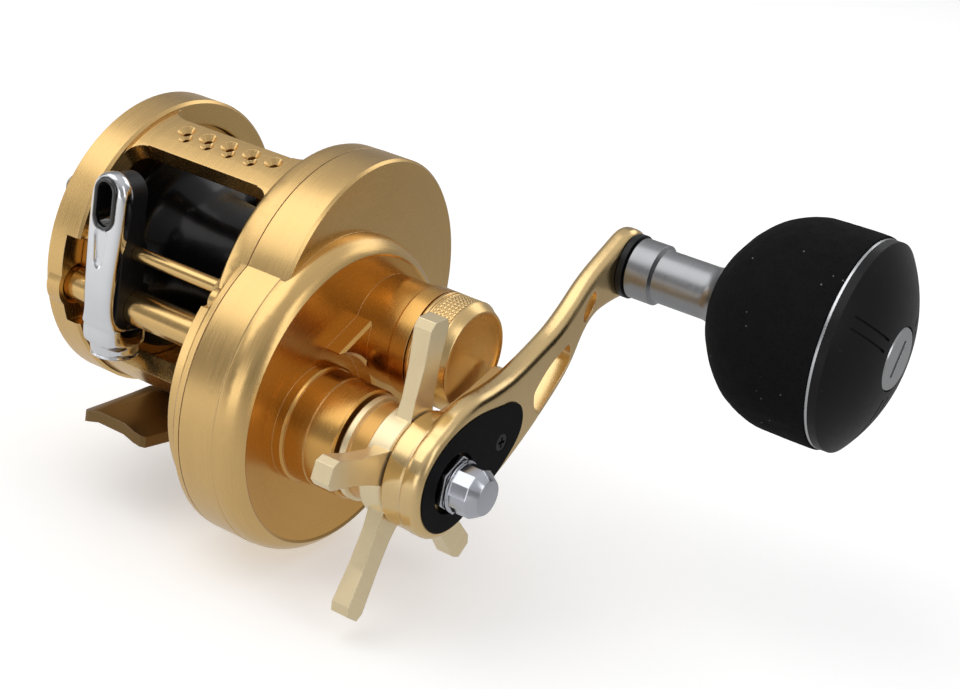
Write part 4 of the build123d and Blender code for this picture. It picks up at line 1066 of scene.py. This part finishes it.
def area_light(name, location, target_x, size, radiance, colour):
    """Rectangular light aimed at (target_x, 0, 0); its power follows radiance and area."""
    light = bpy.data.lights.new(name, "AREA")
    light.shape = "RECTANGLE"
    light.size, light.size_y = size
    light.energy = radiance * math.pi * light.size * light.size_y
    light.color = colour
    ob = bpy.data.objects.new(name, light)
    ob.location = location
    aim = Vector((target_x, 0, 0)) - Vector(location)
    ob.rotation_euler = aim.to_track_quat("-Z", "Y").to_euler()
    bpy.context.scene.collection.objects.link(ob)


def build_world():
    """Even grey to the camera; other rays see a gradient by height."""
    world = bpy.data.worlds.new("studio")
    bpy.context.scene.world = world
    world.use_nodes = True
    nodes, link = world.node_tree.nodes, world.node_tree.links.new
    nodes.clear()
    output = nodes.new("ShaderNodeOutputWorld")
    surroundings = nodes.new("ShaderNodeBackground")
    backdrop = nodes.new("ShaderNodeBackground")
    backdrop.inputs[0].default_value = (0.95, 0.95, 0.955, 1)
    light_path = nodes.new("ShaderNodeLightPath")
    either = nodes.new("ShaderNodeMixShader")
    coords = nodes.new("ShaderNodeTexCoord")
    split = nodes.new("ShaderNodeSeparateXYZ")
    gradient = nodes.new("ShaderNodeValToRGB")
    height = nodes.new("ShaderNodeMapRange")
    height.inputs["From Min"].default_value = -1.0
    height.inputs["From Max"].default_value = 1.0
    bottom, top = gradient.color_ramp.elements
    bottom.position = 0.45
    bottom.color = (0.45, 0.45, 0.455, 1)
    top.position = 1.0
    top.color = (0.66, 0.66, 0.665, 1)
    for position, grey in ((0.55, 0.30), (0.66, 0.26), (0.78, 0.44), (0.90, 0.60)):
        stop = gradient.color_ramp.elements.new(position)
        stop.color = (grey, grey, grey * 1.01, 1)
    link(coords.outputs["Generated"], split.inputs[0])
    link(split.outputs[2], height.inputs[0])
    link(height.outputs[0], gradient.inputs[0])
    link(gradient.outputs[0], surroundings.inputs[0])
    link(light_path.outputs["Is Camera Ray"], either.inputs[0])
    link(surroundings.outputs[0], either.inputs[1])
    link(backdrop.outputs[0], either.inputs[2])
    link(either.outputs[0], output.inputs[0])


def build_camera():
    camera = bpy.data.cameras.new("camera")
    camera.sensor_width = 36.0
    camera.lens = 71.5935
    camera.clip_start = 0.01
    camera.clip_end = 50
    ob = bpy.data.objects.new("camera", camera)
    right = Vector((0.818033557450701, 0.5525624799382007, 0.15967405753313846))
    up = Vector((-0.32330499994168094, 0.21214153200484226, 0.9222092210617655))
    backward = Vector((0.47570471502525624, -0.8060215109804353, 0.35218510465315794))
    rotation = Matrix((right, up, backward)).transposed().to_4x4()
    position = ORIGIN + Vector((0.17604518, -0.22277092, 0.10004674))
    ob.matrix_world = Matrix.Translation(position) @ rotation
    bpy.context.scene.collection.objects.link(ob)
    bpy.context.scene.camera = ob


build_floor()
area_light("key", (-0.26, -0.24, 0.62), target_x=0.0, size=(0.66, 0.66), radiance=1.08,
           colour=(1.0, 0.995, 0.98))
area_light("left", (-0.60, -0.35, 0.10), target_x=0.0, size=(0.34, 0.5), radiance=1.15,
           colour=(1.0, 0.995, 0.985))
area_light("front", (0.10, -0.75, 0.12), target_x=0.02, size=(0.50, 0.26), radiance=1.15,
           colour=(1.0, 1.0, 1.0))
area_light("right", (0.62, -0.10, 0.30), target_x=0.03, size=(0.20, 0.5), radiance=1.5,
           colour=(1.0, 0.99, 0.97))
area_light("back", (0.10, 0.60, 0.45), target_x=0.02, size=(0.5, 0.3), radiance=1.2,
           colour=(1.0, 1.0, 1.0))
build_world()
build_camera()
view = bpy.context.scene.view_settings
view.view_transform = "Standard"
view.look = "None"
view.exposure = 0.0
